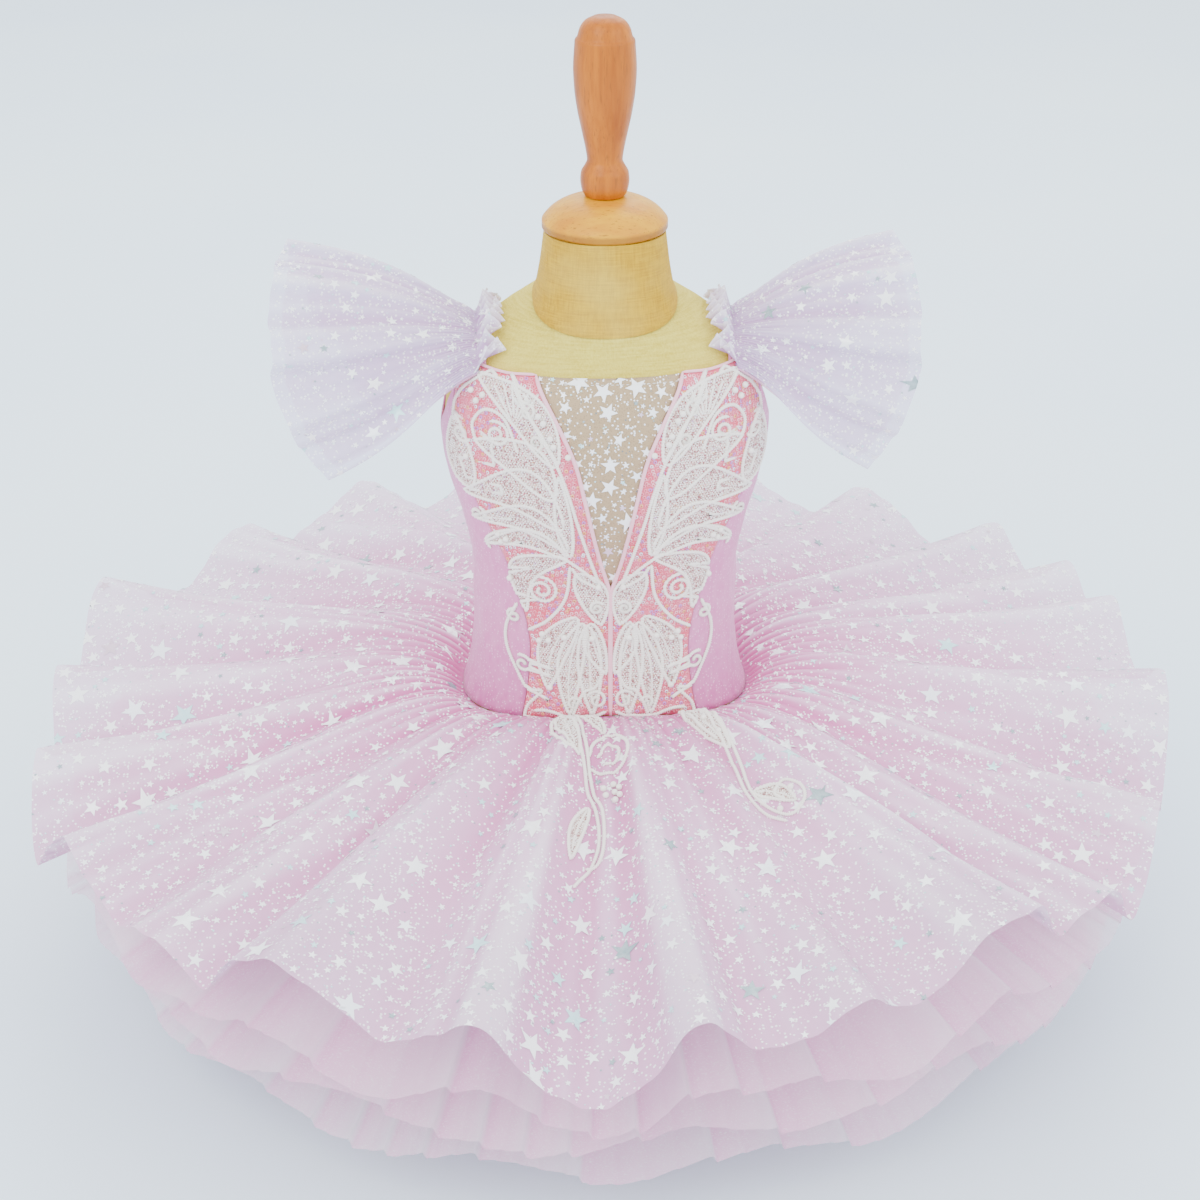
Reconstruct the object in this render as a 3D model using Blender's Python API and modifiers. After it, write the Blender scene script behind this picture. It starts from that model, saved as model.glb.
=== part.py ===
"""Ballet dress on a limbless dress form.

Metres, +Z up, the front faces -Y, the origin is the middle of the form's flat base.
Azimuths are in degrees about the Z axis, 0 at the front, 90 at +X, which is the wearer's left.
"""
import math

import bpy
from mathutils import Vector

# Cloth and gaps
SEAM_GAP = 0.0003
SEAM_SETBACK = 0.00025
FORM_GAP = 0.0009
CLOTH = 0.0014
INSERT_CLOTH = 0.0010
INSERT_TIP = 0.006
TULLE = 0.0011
LACE = 0.0011
LACE_GAP = 0.0004
CORD_RISE = 0.0008
CORD_FLANK = 0.003


def rows(columns, *values):
    """Table with named columns: a dictionary for each row."""
    return [dict(zip(columns.split(), row)) for row in values]


# Dress form: sections of the linen torso from the base to the neck seam
BODY = rows(
    "z half_width half_depth",
    (0.000, 0.1000, 0.0790), (0.004, 0.1040, 0.0830), (0.050, 0.1080, 0.0860), (0.100, 0.1090, 0.0870),
    (0.150, 0.1060, 0.0835), (0.185, 0.0985, 0.0775), (0.206, 0.0920, 0.0735), (0.224, 0.0878, 0.0708),
    (0.250, 0.0856, 0.0692), (0.289, 0.0862, 0.0702), (0.327, 0.0925, 0.0742), (0.354, 0.1000, 0.0768),
    (0.390, 0.1055, 0.0755), (0.410, 0.1040, 0.0715), (0.430, 0.0980, 0.0645), (0.445, 0.0870, 0.0565),
    (0.456, 0.0720, 0.0505), (0.464, 0.0570, 0.0465), (0.470, 0.0465, 0.0440),
)
BODY_SQUARENESS = 2.3
BODY_RINGS = (0.0, 0.004, 0.06, 0.13, 0.17, 0.19, 0.205, 0.22, 0.238, 0.256, 0.274, 0.292, 0.31,
              0.33, 0.35, 0.375, 0.395, 0.412, 0.430, 0.445, 0.457, 0.470)
BODY_SIDES = 24
FORM_INSET = 0.0009

# The neck seam leans: low at the front, high at the back
NECK_LEAN = 0.28
LEAN_START = 0.420
NECK_SEAM = 0.470
NECK_TOP = 0.5165
NECK = rows(
    "share half_width half_depth",
    (0.00, 0.0462, 0.0437), (0.25, 0.0437, 0.0421), (0.55, 0.0413, 0.0404), (0.85, 0.0395, 0.0390),
    (1.00, 0.0386, 0.0384),
)
NECK_SIDES = 24

# Turned wood: radius and height down the outer side
CAP_PROFILE = rows(
    "radius z",
    (0.0000, 0.5378), (0.0120, 0.5376), (0.0200, 0.5362), (0.0280, 0.5333), (0.0345, 0.5292),
    (0.0385, 0.5250), (0.0400, 0.5225), (0.0400, 0.5185), (0.0388, 0.5168), (0.0000, 0.5168),
)
HANDLE_PROFILE = rows(
    "radius z",
    (0.0000, 0.6500), (0.0070, 0.6494), (0.0125, 0.6465), (0.0157, 0.6420), (0.0172, 0.6370),
    (0.0186, 0.6350), (0.0190, 0.6300), (0.0197, 0.6180), (0.0190, 0.6050), (0.0172, 0.5920),
    (0.0145, 0.5790), (0.0120, 0.5670), (0.0112, 0.5610), (0.0126, 0.5575), (0.0150, 0.5530),
    (0.0155, 0.5480), (0.0146, 0.5420), (0.0125, 0.5381), (0.0000, 0.5381),
)
TURNED_STEPS = 20
MERGE = 0.00001
SHARP_DEGREES = 40

# Bodice seams: azimuth of each seam at each height
V_POINT = 0.296
TOP_EDGE = 0.443
V_EDGE = rows(
    "z azimuth",
    (0.296, 0.0), (0.321, 5.5), (0.359, 11.5), (0.387, 16.5), (0.410, 25.0), (0.427, 33.5), (0.443, 41.0),
)
SIDE_SEAM = rows(
    "z azimuth",
    (0.190, 43.0), (0.250, 41.0), (0.300, 48.0), (0.350, 60.0), (0.390, 68.0), (0.425, 74.0),
)
BACK_SEAM = rows(
    "z azimuth",
    (0.190, 136.0), (0.250, 138.0), (0.300, 132.0), (0.350, 120.0), (0.390, 112.0), (0.425, 107.0),
)

# Top edges of the bodice: height at each azimuth
FRONT_TOP = rows(
    "azimuth z",
    (0.0, 0.443), (41.0, 0.443), (55.0, 0.441), (68.0, 0.441), (74.0, 0.424),
)
SIDE_TOP = rows(
    "azimuth z",
    (74.0, 0.422), (80.0, 0.400), (90.0, 0.387), (98.0, 0.392), (107.0, 0.418),
)
BACK_TOP = rows(
    "azimuth z",
    (107.0, 0.422), (113.0, 0.440), (126.0, 0.440), (145.0, 0.424), (165.0, 0.412), (180.0, 0.410),
)

# The hip seam is high at the front and back and dips at the sides
HIP_SEAM = 0.200
HIP_DIP = 0.006

# Shoulder strap: a band over the shoulder between these distances from the middle
STRAP_INNER = 0.0765
STRAP_OUTER = 0.0860
STRAP_FRONT_Z = 0.4415
STRAP_BACK_Z = 0.4405
SHOULDER_FOOT = 0.380
HALVINGS = 30

# Skirt: azimuth, height and radius of each crest and trough of the star layer's hem
FOLDS = rows(
    "azimuth hem_z hem_radius",
    (-177.0, 0.168, 0.380), (-170.0, 0.198, 0.388), (-160.0, 0.170, 0.380), (-151.0, 0.198, 0.389),
    (-142.0, 0.168, 0.380), (-134.0, 0.192, 0.387), (-123.0, 0.166, 0.380), (-108.0, 0.210, 0.390),
    (-100.0, 0.176, 0.380), (-94.0, 0.192, 0.385), (-87.0, 0.160, 0.379), (-82.0, 0.174, 0.388),
    (-75.0, 0.134, 0.396), (-64.0, 0.176, 0.385), (-55.0, 0.154, 0.384), (-48.0, 0.168, 0.386),
    (-42.0, 0.152, 0.386), (-36.0, 0.182, 0.385), (-31.0, 0.188, 0.384), (-22.0, 0.158, 0.386),
    (-14.0, 0.178, 0.387), (-8.5, 0.141, 0.391), (-3.5, 0.133, 0.393), (0.5, 0.146, 0.390),
    (4.5, 0.182, 0.385), (11.0, 0.158, 0.386), (19.0, 0.178, 0.388), (25.0, 0.166, 0.385),
    (31.0, 0.193, 0.384), (36.0, 0.198, 0.384), (43.0, 0.164, 0.384), (49.0, 0.174, 0.388),
    (56.0, 0.138, 0.392), (66.0, 0.172, 0.384), (73.0, 0.150, 0.383), (84.0, 0.203, 0.387),
    (92.0, 0.176, 0.380), (101.0, 0.204, 0.388), (106.0, 0.190, 0.383), (110.0, 0.207, 0.388),
    (116.0, 0.180, 0.380), (123.0, 0.204, 0.388), (132.0, 0.170, 0.380), (142.0, 0.196, 0.388),
    (151.0, 0.168, 0.380), (160.0, 0.198, 0.389), (169.0, 0.168, 0.380), (176.0, 0.196, 0.388),
)
MEAN_HEM = 0.175
SKIRT_AROUND = 96
SKIRT_ROWS = (0.0, 0.013, 0.09, 0.27, 0.58, 1.0)
FLAT_ROOT = 0.013
ROOT_PITCH = 0.0015
ROOT_EASE = 0.0002
PUFF_PEAK = 0.20
FOLD_GROWTH = 1.15

# Skirt layers under the star layer, each drawn by waves of its own
PINK = rows(
    "name hem_z hem_radius share wave waves puff",
    ("skirt_pink_upper", 0.120, 0.374, 0.40, 0.0095, 14, 0.007),
    ("skirt_pink_middle", 0.085, 0.362, 0.15, 0.0090, 12, 0.002),
    ("skirt_pink_lower", 0.050, 0.347, 0.05, 0.0090, 13, 0.000),
)
PINK_AROUND = 66
PINK_ROWS = (0.0, 0.013, 0.40, 1.0)
STAR_PUFF = 0.016

# Waves of a pink hem: shares of its main and slow waves, and how far it swings in and out
MAIN_SWING = 0.72
SLOW_SWING = 0.28
SLOW_WAVES = 7
OUT_SWING = 0.35
LETTER_SHIFT = 40.0
SLOW_SHIFT = 1.7

# Sleeves: the free edge from the front tail over the top to the back tail, on the side at +X
SLEEVE_EDGE = rows(
    "share x y z",
    (-1.00, 0.174, -0.050, 0.372), (-0.75, 0.191, -0.062, 0.400), (-0.45, 0.203, -0.060, 0.448),
    (-0.15, 0.203, -0.030, 0.489), (0.00, 0.200, -0.006, 0.502), (0.20, 0.197, 0.024, 0.499),
    (0.50, 0.189, 0.055, 0.460), (0.80, 0.165, 0.062, 0.404), (1.00, 0.147, 0.056, 0.368),
)
SLEEVE_ROOT_X = 0.0800
SLEEVE_ROOT_Y = 0.0385
SLEEVE_COLUMNS_ROUND = 24
SLEEVE_OUT = 0.0048
SLEEVE_STEP = 0.0018
SLEEVE_DROP = 0.0045
SLEEVE_WAVES = 7
SLEEVE_WAVE = 0.0055
SLEEVE_BULGE = 0.010
HEADER_IN = 0.0065
HEADER_UP = 0.0060
HEADER_WAVE = 0.0012
HEADER_SWAY = Vector((0.5, 0.0, 0.5))
DROP_SHARE = 0.25
TANGENT_STEP = 0.04
WAVE_START = 0.8
SLEEVE_SPREAD = {"left": 0.965, "right": 1.035}

# Lace strokes on the front panel, in mm from the middle and above the base
# A stroke is a leaf or a cord whose heading turns as it goes, 0 is outwards and 90 is up
BODICE_STROKES = rows(
    "u z heading length turn curl half_width tip",
    (8, 226, 84, 62, 4, 0, 4.0, 0.9), (11, 284, 72, 84, 12, -14, 4.6, 0.9),
    (33, 362, 60, 52, -30, 20, 4.6, 0.8), (43, 398, 66, 46, -40, -30, 5.0, 0.6),
    (46, 420, 16, 30, -46, -20, 7.0, 0.2), (42, 408, -8, 60, 20, 235, 4.0, 0.5),
    (30, 366, 20, 58, 36, 0, 8.6, 0.2), (26, 346, 8, 66, 36, 0, 8.6, 0.2),
    (21, 324, 0, 68, 40, 0, 8.4, 0.2), (17, 304, -14, 98, 60, 330, 3.8, 0.6),
    (66, 352, 10, 40, 60, 190, 3.4, 0.6), (14, 288, -32, 62, -14, 0, 6.4, 0.2),
    (11, 284, -54, 68, -12, 0, 6.4, 0.2), (10, 280, -74, 62, -8, 0, 5.6, 0.2),
    (42, 262, -8, 46, 30, 250, 3.2, 0.6), (9, 232, 10, 42, 20, 260, 3.0, 0.6),
)

# Lace strokes on the skirt, in mm across the front and out from the hip seam
TAIL_RIGHT_STROKES = rows(
    "u z heading length turn curl half_width tip",
    (-26, 2, 88, 166, -40, 75, 4.0, 0.7), (-25, 42, 34, 42, 4, 0, 8.4, 0.3),
    (-28, 4, 112, 54, -10, 0, 6.4, 0.3), (-18, 94, 18, 24, -20, 0, 6.4, 0.6),
    (-19, 98, 128, 44, -16, 0, 6.6, 0.3),
)
TAIL_LEFT_STROKES = rows(
    "u z heading length turn curl half_width tip",
    (50, 2, 74, 82, -8, 0, 7.6, 0.3), (52, 4, 70, 136, 26, -76, 4.2, 0.9), (47, 4, 100, 46, 12, 0, 6.4, 0.3),
    (104, 124, 12, 48, 40, 220, 4.2, 0.8),
)
STROKE_STEPS = 14
STROKE_START = 0.15
STROKE_ROUNDNESS = 0.6
NEAREST_CUT = 0.2
MM = 1000
PANEL_ACROSS = 7
PANEL_UP = 12
SIDE_ACROSS = 5
INSERT_ACROSS = 5
INSERT_UP = 8
STRAP_ACROSS = 2
STRAP_ALONG = 8
SETTLING_ROUNDS = 6
TOP_CROWDING = 0.35
LACE_ACROSS = 2
LACE_CUTS = (2,) * PANEL_UP
TAIL_ACROSS = 3
TAIL_CUTS = (3, 7, 12)
TAIL_RIGHT_COLUMNS = (-10, 2)
TAIL_LEFT_COLUMNS = (4, 16)

# Finishes
FINISHES = rows(
    "name colour roughness",
    ("linen", (0.76, 0.72, 0.42), 0.85),
    ("neck_linen", (0.68, 0.52, 0.22), 0.85),
    ("turned_wood", (0.68, 0.32, 0.06), 0.4),
    ("sequin_cloth", (0.86, 0.42, 0.48), 0.5),
    ("stretch_cloth", (0.68, 0.38, 0.58), 0.6),
    ("star_mesh", (0.66, 0.58, 0.50), 0.6),
    ("star_tulle", (0.76, 0.62, 0.74), 0.6),
    ("pink_tulle", (0.84, 0.60, 0.70), 0.7),
    ("lace_thread", (0.86, 0.83, 0.76), 0.6),
)


def read(table, column, at):
    """A column's value at any place of the first column, on a smooth curve with no overshoot."""
    first = next(iter(table[0]))
    places = [row[first] for row in table]
    values = [row[column] for row in table]
    if at <= places[0]:
        return values[0]
    if at >= places[-1]:
        return values[-1]
    low = max(k for k in range(len(places) - 1) if places[k] <= at)
    step = places[low + 1] - places[low]
    f = (at - places[low]) / step
    start = slope(places, values, low) * step
    end = slope(places, values, low + 1) * step
    rise = values[low + 1] - values[low]
    return values[low] + f * (start + f * (3 * rise - 2 * start - end + f * (start + end - 2 * rise)))


def slope(places, values, row):
    """Slope of the curve at a row: flat at a crest or trough, between its neighbours elsewhere."""
    steps = []
    for k in (row - 1, row):
        if 0 <= k < len(places) - 1:
            steps.append((values[k + 1] - values[k]) / (places[k + 1] - places[k]))
    if len(steps) == 1:
        return steps[0]
    if steps[0] * steps[1] <= 0:
        return 0.0
    return 2 * steps[0] * steps[1] / (steps[0] + steps[1])


def lean(z):
    """Share of the neck's lean that a section at this height has."""
    f = min(1.0, max(0.0, (z - LEAN_START) / (NECK_SEAM - LEAN_START)))
    return NECK_LEAN * f * f * (3 - 2 * f)


def ring_point(half_width, half_depth, azimuth, z, tilt):
    """Point of an oval section with flattened sides, tilted about the X axis."""
    a = math.radians(azimuth)
    across = (abs(math.sin(a)) / half_width) ** BODY_SQUARENESS
    along = (abs(math.cos(a)) / half_depth) ** BODY_SQUARENESS
    radius = (across + along) ** (-1 / BODY_SQUARENESS)
    y = -radius * math.cos(a)
    return Vector((radius * math.sin(a), y, z + tilt * y))


def skin(z, azimuth):
    """Point on the torso at a section height and an azimuth."""
    half_width, half_depth = read(BODY, "half_width", z), read(BODY, "half_depth", z)
    return ring_point(half_width, half_depth, azimuth, z, lean(z))


def body_normal(z, azimuth):
    """Outward direction of the torso's surface."""
    across = skin(z, azimuth + 0.5) - skin(z, azimuth - 0.5)
    up = skin(z + 0.001, azimuth) - skin(z - 0.001, azimuth)
    return across.cross(up).normalized()


def body_point(z, azimuth, out=0.0):
    """Point on the torso, moved out of it by a distance."""
    return skin(z, azimuth) + out * body_normal(z, azimuth)


def shoulder_place(x, y):
    """Section height and azimuth of the torso's upper surface above a point of the plan."""
    low, high = SHOULDER_FOOT, NECK_SEAM
    for _ in range(HALVINGS):
        z = (low + high) / 2
        across = (abs(x) / read(BODY, "half_width", z)) ** BODY_SQUARENESS
        along = (abs(y) / read(BODY, "half_depth", z)) ** BODY_SQUARENESS
        if across + along > 1:
            high = z
        else:
            low = z
    return low, math.degrees(math.atan2(x, -y))


def hip_seam(azimuth):
    """Height of the seam between bodice and skirt."""
    return HIP_SEAM + HIP_DIP * math.cos(math.radians(2 * azimuth))


def material(name, colour, roughness, metallic=0.0):
    """Principled material with one colour, roughness and metallic value."""
    made = bpy.data.materials.new(name)
    made.use_nodes = True
    shader = made.node_tree.nodes["Principled BSDF"]
    shader.inputs["Base Color"].default_value = (*colour, 1.0)
    shader.inputs["Roughness"].default_value = roughness
    shader.inputs["Metallic"].default_value = metallic
    return made


def add_object(collection, name, points, faces, finish):
    """New mesh object from points and faces, with its material."""
    mesh = bpy.data.meshes.new(name)
    mesh.from_pydata([tuple(p) for p in points], [], faces)
    mesh.validate()
    mesh.shade_smooth()
    made = bpy.data.objects.new(name, mesh)
    made.data.materials.append(finish)
    collection.objects.link(made)
    return made


def loft(collection, name, rings, finish):
    """Closed solid through rings of equal count, with a flat cap at each end."""
    count = len(rings[0])
    points = [p for ring in rings for p in ring]
    faces = []
    for level in range(len(rings) - 1):
        for k in range(count):
            a = level * count + k
            b = level * count + (k + 1) % count
            faces.append((a, b, b + count, a + count))
    faces.append(tuple(reversed(range(count))))
    faces.append(tuple(range(len(points) - count, len(points))))
    made = add_object(collection, name, points, faces, finish)
    made.data.set_sharp_from_angle(angle=math.radians(SHARP_DEGREES))
    return made


def sheet(collection, name, grid, thickness, offset, finish, closed=False):
    """Cloth wall: triangles over a grid of points, thickened by Solidify."""
    columns = len(grid[0])
    points = [p for row in grid for p in row]
    faces = []
    for j in range(len(grid) - 1):
        for i in range(columns if closed else columns - 1):
            a = j * columns + i
            b = j * columns + (i + 1) % columns
            faces.append((a, b, b + columns))
            faces.append((a, b + columns, a + columns))
    made = add_object(collection, name, points, faces, finish)
    wall = made.modifiers.new("Cloth", "SOLIDIFY")
    wall.thickness = thickness
    wall.offset = offset
    return made


def turned(collection, name, profile, finish):
    """Turned solid: a profile down the outer side, screwed round the Z axis."""
    points = [(row["radius"], 0.0, row["z"]) for row in profile]
    mesh = bpy.data.meshes.new(name)
    mesh.from_pydata(points, [(k, k + 1) for k in range(len(points) - 1)], [])
    made = bpy.data.objects.new(name, mesh)
    made.data.materials.append(finish)
    collection.objects.link(made)
    screw = made.modifiers.new("Turn", "SCREW")
    screw.steps = TURNED_STEPS
    screw.render_steps = TURNED_STEPS
    screw.use_merge_vertices = True
    screw.merge_threshold = MERGE
    screw.use_smooth_shade = True
    return made


def build_form(collection, linen, neck_linen, wood):
    """Linen torso and neck, turned cap and handle."""
    rings = []
    for z in BODY_RINGS:
        half_width = read(BODY, "half_width", z) - FORM_INSET
        half_depth = read(BODY, "half_depth", z) - FORM_INSET
        turns = [360 * k / BODY_SIDES for k in range(BODY_SIDES)]
        rings.append([ring_point(half_width, half_depth, turn, z, lean(z)) for turn in turns])
    loft(collection, "form_torso", rings, linen)
    rings = []
    for row in NECK:
        z = NECK_SEAM + SEAM_GAP + row["share"] * (NECK_TOP - NECK_SEAM - SEAM_GAP)
        tilt = NECK_LEAN * (1 - row["share"])
        turns = [360 * k / NECK_SIDES for k in range(NECK_SIDES)]
        rings.append([ring_point(row["half_width"], row["half_depth"], turn, z, tilt) for turn in turns])
    loft(collection, "form_neck", rings, neck_linen)
    turned(collection, "neck_cap", CAP_PROFILE, wood)
    turned(collection, "handle", HANDLE_PROFILE, wood)


def panel_places(side, first_seam, last_seam, top, across, up):
    """Grid of section heights and azimuths between two seams, the hip seam and a top edge."""
    places = []
    for j in range(up + 1):
        row = []
        for i in range(across + 1):
            p, f = i / across, j / up
            q = f * (1 + TOP_CROWDING * (1 - f))
            z = HIP_SEAM + q * (TOP_EDGE - HIP_SEAM)
            for _ in range(SETTLING_ROUNDS):
                azimuth = first_seam(z) + p * (last_seam(z) - first_seam(z))
                bottom = hip_seam(azimuth)
                z = bottom + q * (top(azimuth) - bottom)
            azimuth = first_seam(z) + p * (last_seam(z) - first_seam(z))
            row.append((z, azimuth if side == "left" else -azimuth))
        places.append(row if side == "left" else row[::-1])
    return places


def seam_line(table, shift):
    """Azimuth of a seam at each height, set back a little to one side."""
    def azimuth(z):
        at = read(table, "azimuth", z)
        radius = skin(z, at).xy.length
        return at + math.degrees(shift * SEAM_SETBACK / radius)
    return azimuth


def edge_line(table):
    """Height of a top edge at each azimuth."""
    def height(azimuth):
        return read(table, "z", azimuth)
    return height


def front_places(side):
    """Places of a front panel, from the V edge to the side seam."""
    return panel_places(side, seam_line(V_EDGE, 1), seam_line(SIDE_SEAM, -1), edge_line(FRONT_TOP),
                        PANEL_ACROSS, PANEL_UP)


def build_bodice(collection, sequin_cloth, stretch, star_mesh):
    """Front, side and back panels, the insert and the straps."""
    for side in ("left", "right"):
        places = front_places(side)
        grid = [[body_point(z, azimuth, FORM_GAP) for z, azimuth in row] for row in places]
        sheet(collection, "panel_front_" + side, grid, CLOTH, 1.0, sequin_cloth)
        places = panel_places(side, seam_line(SIDE_SEAM, 1), seam_line(BACK_SEAM, -1), edge_line(SIDE_TOP),
                              SIDE_ACROSS, PANEL_UP)
        grid = [[body_point(z, azimuth, FORM_GAP) for z, azimuth in row] for row in places]
        sheet(collection, "panel_side_" + side, grid, CLOTH, 1.0, stretch)
        sheet(collection, "strap_" + side, strap_grid(side), CLOTH, 1.0, stretch)
    build_back(collection, stretch)
    build_insert(collection, star_mesh)


def build_back(collection, stretch):
    """Back panel between the two back seams."""
    seam = seam_line(BACK_SEAM, 1)
    half = panel_places("left", seam, lambda z: 180.0, edge_line(BACK_TOP), SIDE_ACROSS, PANEL_UP)
    grid = []
    for row in half:
        other = [(z, 360 - azimuth) for z, azimuth in row[-2::-1]]
        grid.append([body_point(z, azimuth, FORM_GAP) for z, azimuth in row + other])
    sheet(collection, "panel_back", grid, CLOTH, 1.0, stretch)


def build_insert(collection, star_mesh):
    """Mesh insert that fills the V between the front panels."""
    edge = seam_line(V_EDGE, -1)
    low = V_POINT + INSERT_TIP
    grid = []
    for j in range(INSERT_UP + 1):
        z = low + (TOP_EDGE - low) * j / INSERT_UP
        turns = [edge(z) * (2 * i / INSERT_ACROSS - 1) for i in range(INSERT_ACROSS + 1)]
        grid.append([body_point(z, turn, FORM_GAP) for turn in turns])
    sheet(collection, "insert_front", grid, INSERT_CLOTH, 1.0, star_mesh)


def strap_grid(side):
    """Band over the shoulder from the front panel's top edge to the back panel's."""
    sign = 1 if side == "left" else -1
    grid = []
    for i in range(STRAP_ACROSS + 1):
        x = STRAP_OUTER + (STRAP_INNER - STRAP_OUTER) * i / STRAP_ACROSS
        ends = []
        for z in (STRAP_FRONT_Z, STRAP_BACK_Z):
            left_over = 1 - (x / read(BODY, "half_width", z)) ** BODY_SQUARENESS
            ends.append(read(BODY, "half_depth", z) * left_over ** (1 / BODY_SQUARENESS))
        row = []
        for j in range(STRAP_ALONG + 1):
            y = -ends[0] + (ends[0] + ends[1]) * j / STRAP_ALONG
            z, azimuth = shoulder_place(x, y)
            row.append(body_point(z, sign * azimuth, FORM_GAP))
        grid.append(row if side == "left" else row[::-1])
    return grid


def star_hem(azimuth):
    """Height and radius of the star layer's hem."""
    before = {**FOLDS[-1], "azimuth": FOLDS[-1]["azimuth"] - 360}
    after = [{**row, "azimuth": row["azimuth"] + 360} for row in FOLDS[:2]]
    ring = [before] + FOLDS + after
    start = FOLDS[0]["azimuth"]
    at = (azimuth - start) % 360 + start
    return read(ring, "hem_z", at), read(ring, "hem_radius", at)


def pink_hem(layer, azimuth):
    """Height and radius of a pink layer's hem: a share of the star folds and waves of its own."""
    wave, shift = layer["wave"], LETTER_SHIFT * len(layer["name"])
    a = math.radians(azimuth)
    swing = MAIN_SWING * math.sin(layer["waves"] * a + shift)
    swing += SLOW_SWING * math.sin(SLOW_WAVES * a + SLOW_SHIFT * shift)
    z = layer["hem_z"] + layer["share"] * (star_hem(azimuth)[0] - MEAN_HEM) + wave * swing
    return z, layer["hem_radius"] + OUT_SWING * wave * math.cos(layer["waves"] * a + shift)


def skirt_point(level, azimuth, t, hem, puff):
    """Point of a skirt layer: level counts the layers down, t runs from the seam to the hem."""
    root_z = hip_seam(azimuth) - SEAM_GAP - TULLE / 2 - level * ROOT_PITCH
    root = body_point(root_z, azimuth, FORM_GAP + ROOT_EASE)
    root_radius = root.xy.length
    hem_z, hem_radius = hem
    radius = root_radius + t * (hem_radius - root_radius)
    free = max(0.0, (t - FLAT_ROOT) / (1 - FLAT_ROOT))
    lift = puff * free / PUFF_PEAK * math.exp(1 - free / PUFF_PEAK)
    z = root_z + (hem_z - root_z) * free ** FOLD_GROWTH + lift
    a = math.radians(azimuth)
    return Vector((radius * math.sin(a), -radius * math.cos(a), z))


def star_grid():
    """Points of the star layer, one row for each distance from the seam."""
    turns = [360 * k / SKIRT_AROUND for k in range(SKIRT_AROUND)]
    hems = [star_hem(turn) for turn in turns]
    ends = list(zip(turns, hems))
    return [[skirt_point(0, turn, t, hem, STAR_PUFF) for turn, hem in ends] for t in SKIRT_ROWS]


def build_skirt(collection, star_tulle, pink_tulle):
    """Star layer and the pink layers under it."""
    flipped = [row[::-1] for row in star_grid()]
    sheet(collection, "skirt_star", flipped, TULLE, 0.0, star_tulle, closed=True)
    for level, layer in enumerate(PINK, start=1):
        turns = [-360 * k / PINK_AROUND for k in range(PINK_AROUND)]
        grid = []
        for t in PINK_ROWS:
            grid.append([skirt_point(level, turn, t, pink_hem(layer, turn), layer["puff"]) for turn in turns])
        sheet(collection, layer["name"], grid, TULLE, 0.0, pink_tulle, closed=True)


def sleeve_ends(s):
    """Points of the gathered root and of the free edge, on the side at +X."""
    z, azimuth = shoulder_place(SLEEVE_ROOT_X, s * SLEEVE_ROOT_Y)
    edge = Vector(tuple(read(SLEEVE_EDGE, column, s) for column in "xyz"))
    return body_point(z, azimuth, SLEEVE_OUT), edge


def sleeve_point(side, s, t, step, drop):
    """Point of a sleeve: s runs from the front tail to the back tail, t from the gathers to the edge."""
    root, edge = sleeve_ends(s)
    ahead, behind = sleeve_ends(min(1.0, s + TANGENT_STEP)), sleeve_ends(max(-1.0, s - TANGENT_STEP))
    share = max(0.0, t)
    tangent = (ahead[0] - behind[0]).lerp(ahead[1] - behind[1], share)
    edge.x *= SLEEVE_SPREAD[side]
    reach = edge - root
    outward = reach.cross(tangent).normalized()
    wave = math.sin(math.pi * SLEEVE_WAVES * (s + 1) + WAVE_START)
    if t < 0:
        rise = -t
        point = root + rise * Vector((-HEADER_IN, 0.0, HEADER_UP))
        point += rise * HEADER_WAVE * wave * HEADER_SWAY
    else:
        swell = SLEEVE_BULGE * math.sin(math.pi * t) + SLEEVE_WAVE * t * wave
        swell -= step + drop * min(1.0, t / DROP_SHARE)
        point = root + t * reach + swell * outward
    return point if side == "left" else Vector((-point.x, point.y, point.z))


def build_sleeves(collection, star_tulle, pink_tulle):
    """A star layer with a frilled header over a pink layer, on each shoulder."""
    layers = [
        ("sleeve_star_", 0.0, 0.0, (-1.0, 0.0, 0.25, 0.6, 1.0), star_tulle),
        ("sleeve_pink_", SLEEVE_STEP, SLEEVE_DROP, (0.0, 0.25, 0.6, 0.93), pink_tulle),
    ]
    shares = [2 * i / SLEEVE_COLUMNS_ROUND - 1 for i in range(SLEEVE_COLUMNS_ROUND + 1)]
    for side in ("left", "right"):
        for name, step, drop, levels, finish in layers:
            grid = []
            for t in levels:
                row = [sleeve_point(side, s, t, step, drop) for s in shares]
                grid.append(row if side == "right" else row[::-1])
            sheet(collection, name + side, grid, TULLE, 0.0, finish)


def stroke_path(stroke):
    """Points along a stroke and its half-width at each, in metres."""
    u, v = stroke["u"] / MM, stroke["z"] / MM
    tip, step = stroke["tip"], stroke["length"] / MM / STROKE_STEPS
    path = []
    for k in range(STROKE_STEPS + 1):
        f = k / STROKE_STEPS
        swell = math.sin(math.pi * min(1.0, STROKE_START + (1 - STROKE_START) * f)) ** STROKE_ROUNDNESS
        path.append((u, v, stroke["half_width"] / MM * (tip + (1 - tip) * swell)))
        at = math.radians(stroke["heading"] + stroke["turn"] * f + stroke["curl"] * f * f)
        u += step * math.cos(at)
        v += step * math.sin(at)
    return path


def stroke_depth(paths, u, v):
    """How far inside the nearest stroke a place lies, below 0 outside all of them."""
    best = -1.0
    for path in paths:
        for (u0, v0, w0), (u1, v1, w1) in zip(path, path[1:]):
            du, dv = u1 - u0, v1 - v0
            f = ((u - u0) * du + (v - v0) * dv) / (du * du + dv * dv)
            f = min(1.0, max(0.0, f))
            away = math.hypot(u - u0 - f * du, v - v0 - f * dv)
            best = max(best, w0 + f * (w1 - w0) - away)
    return best


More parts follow.
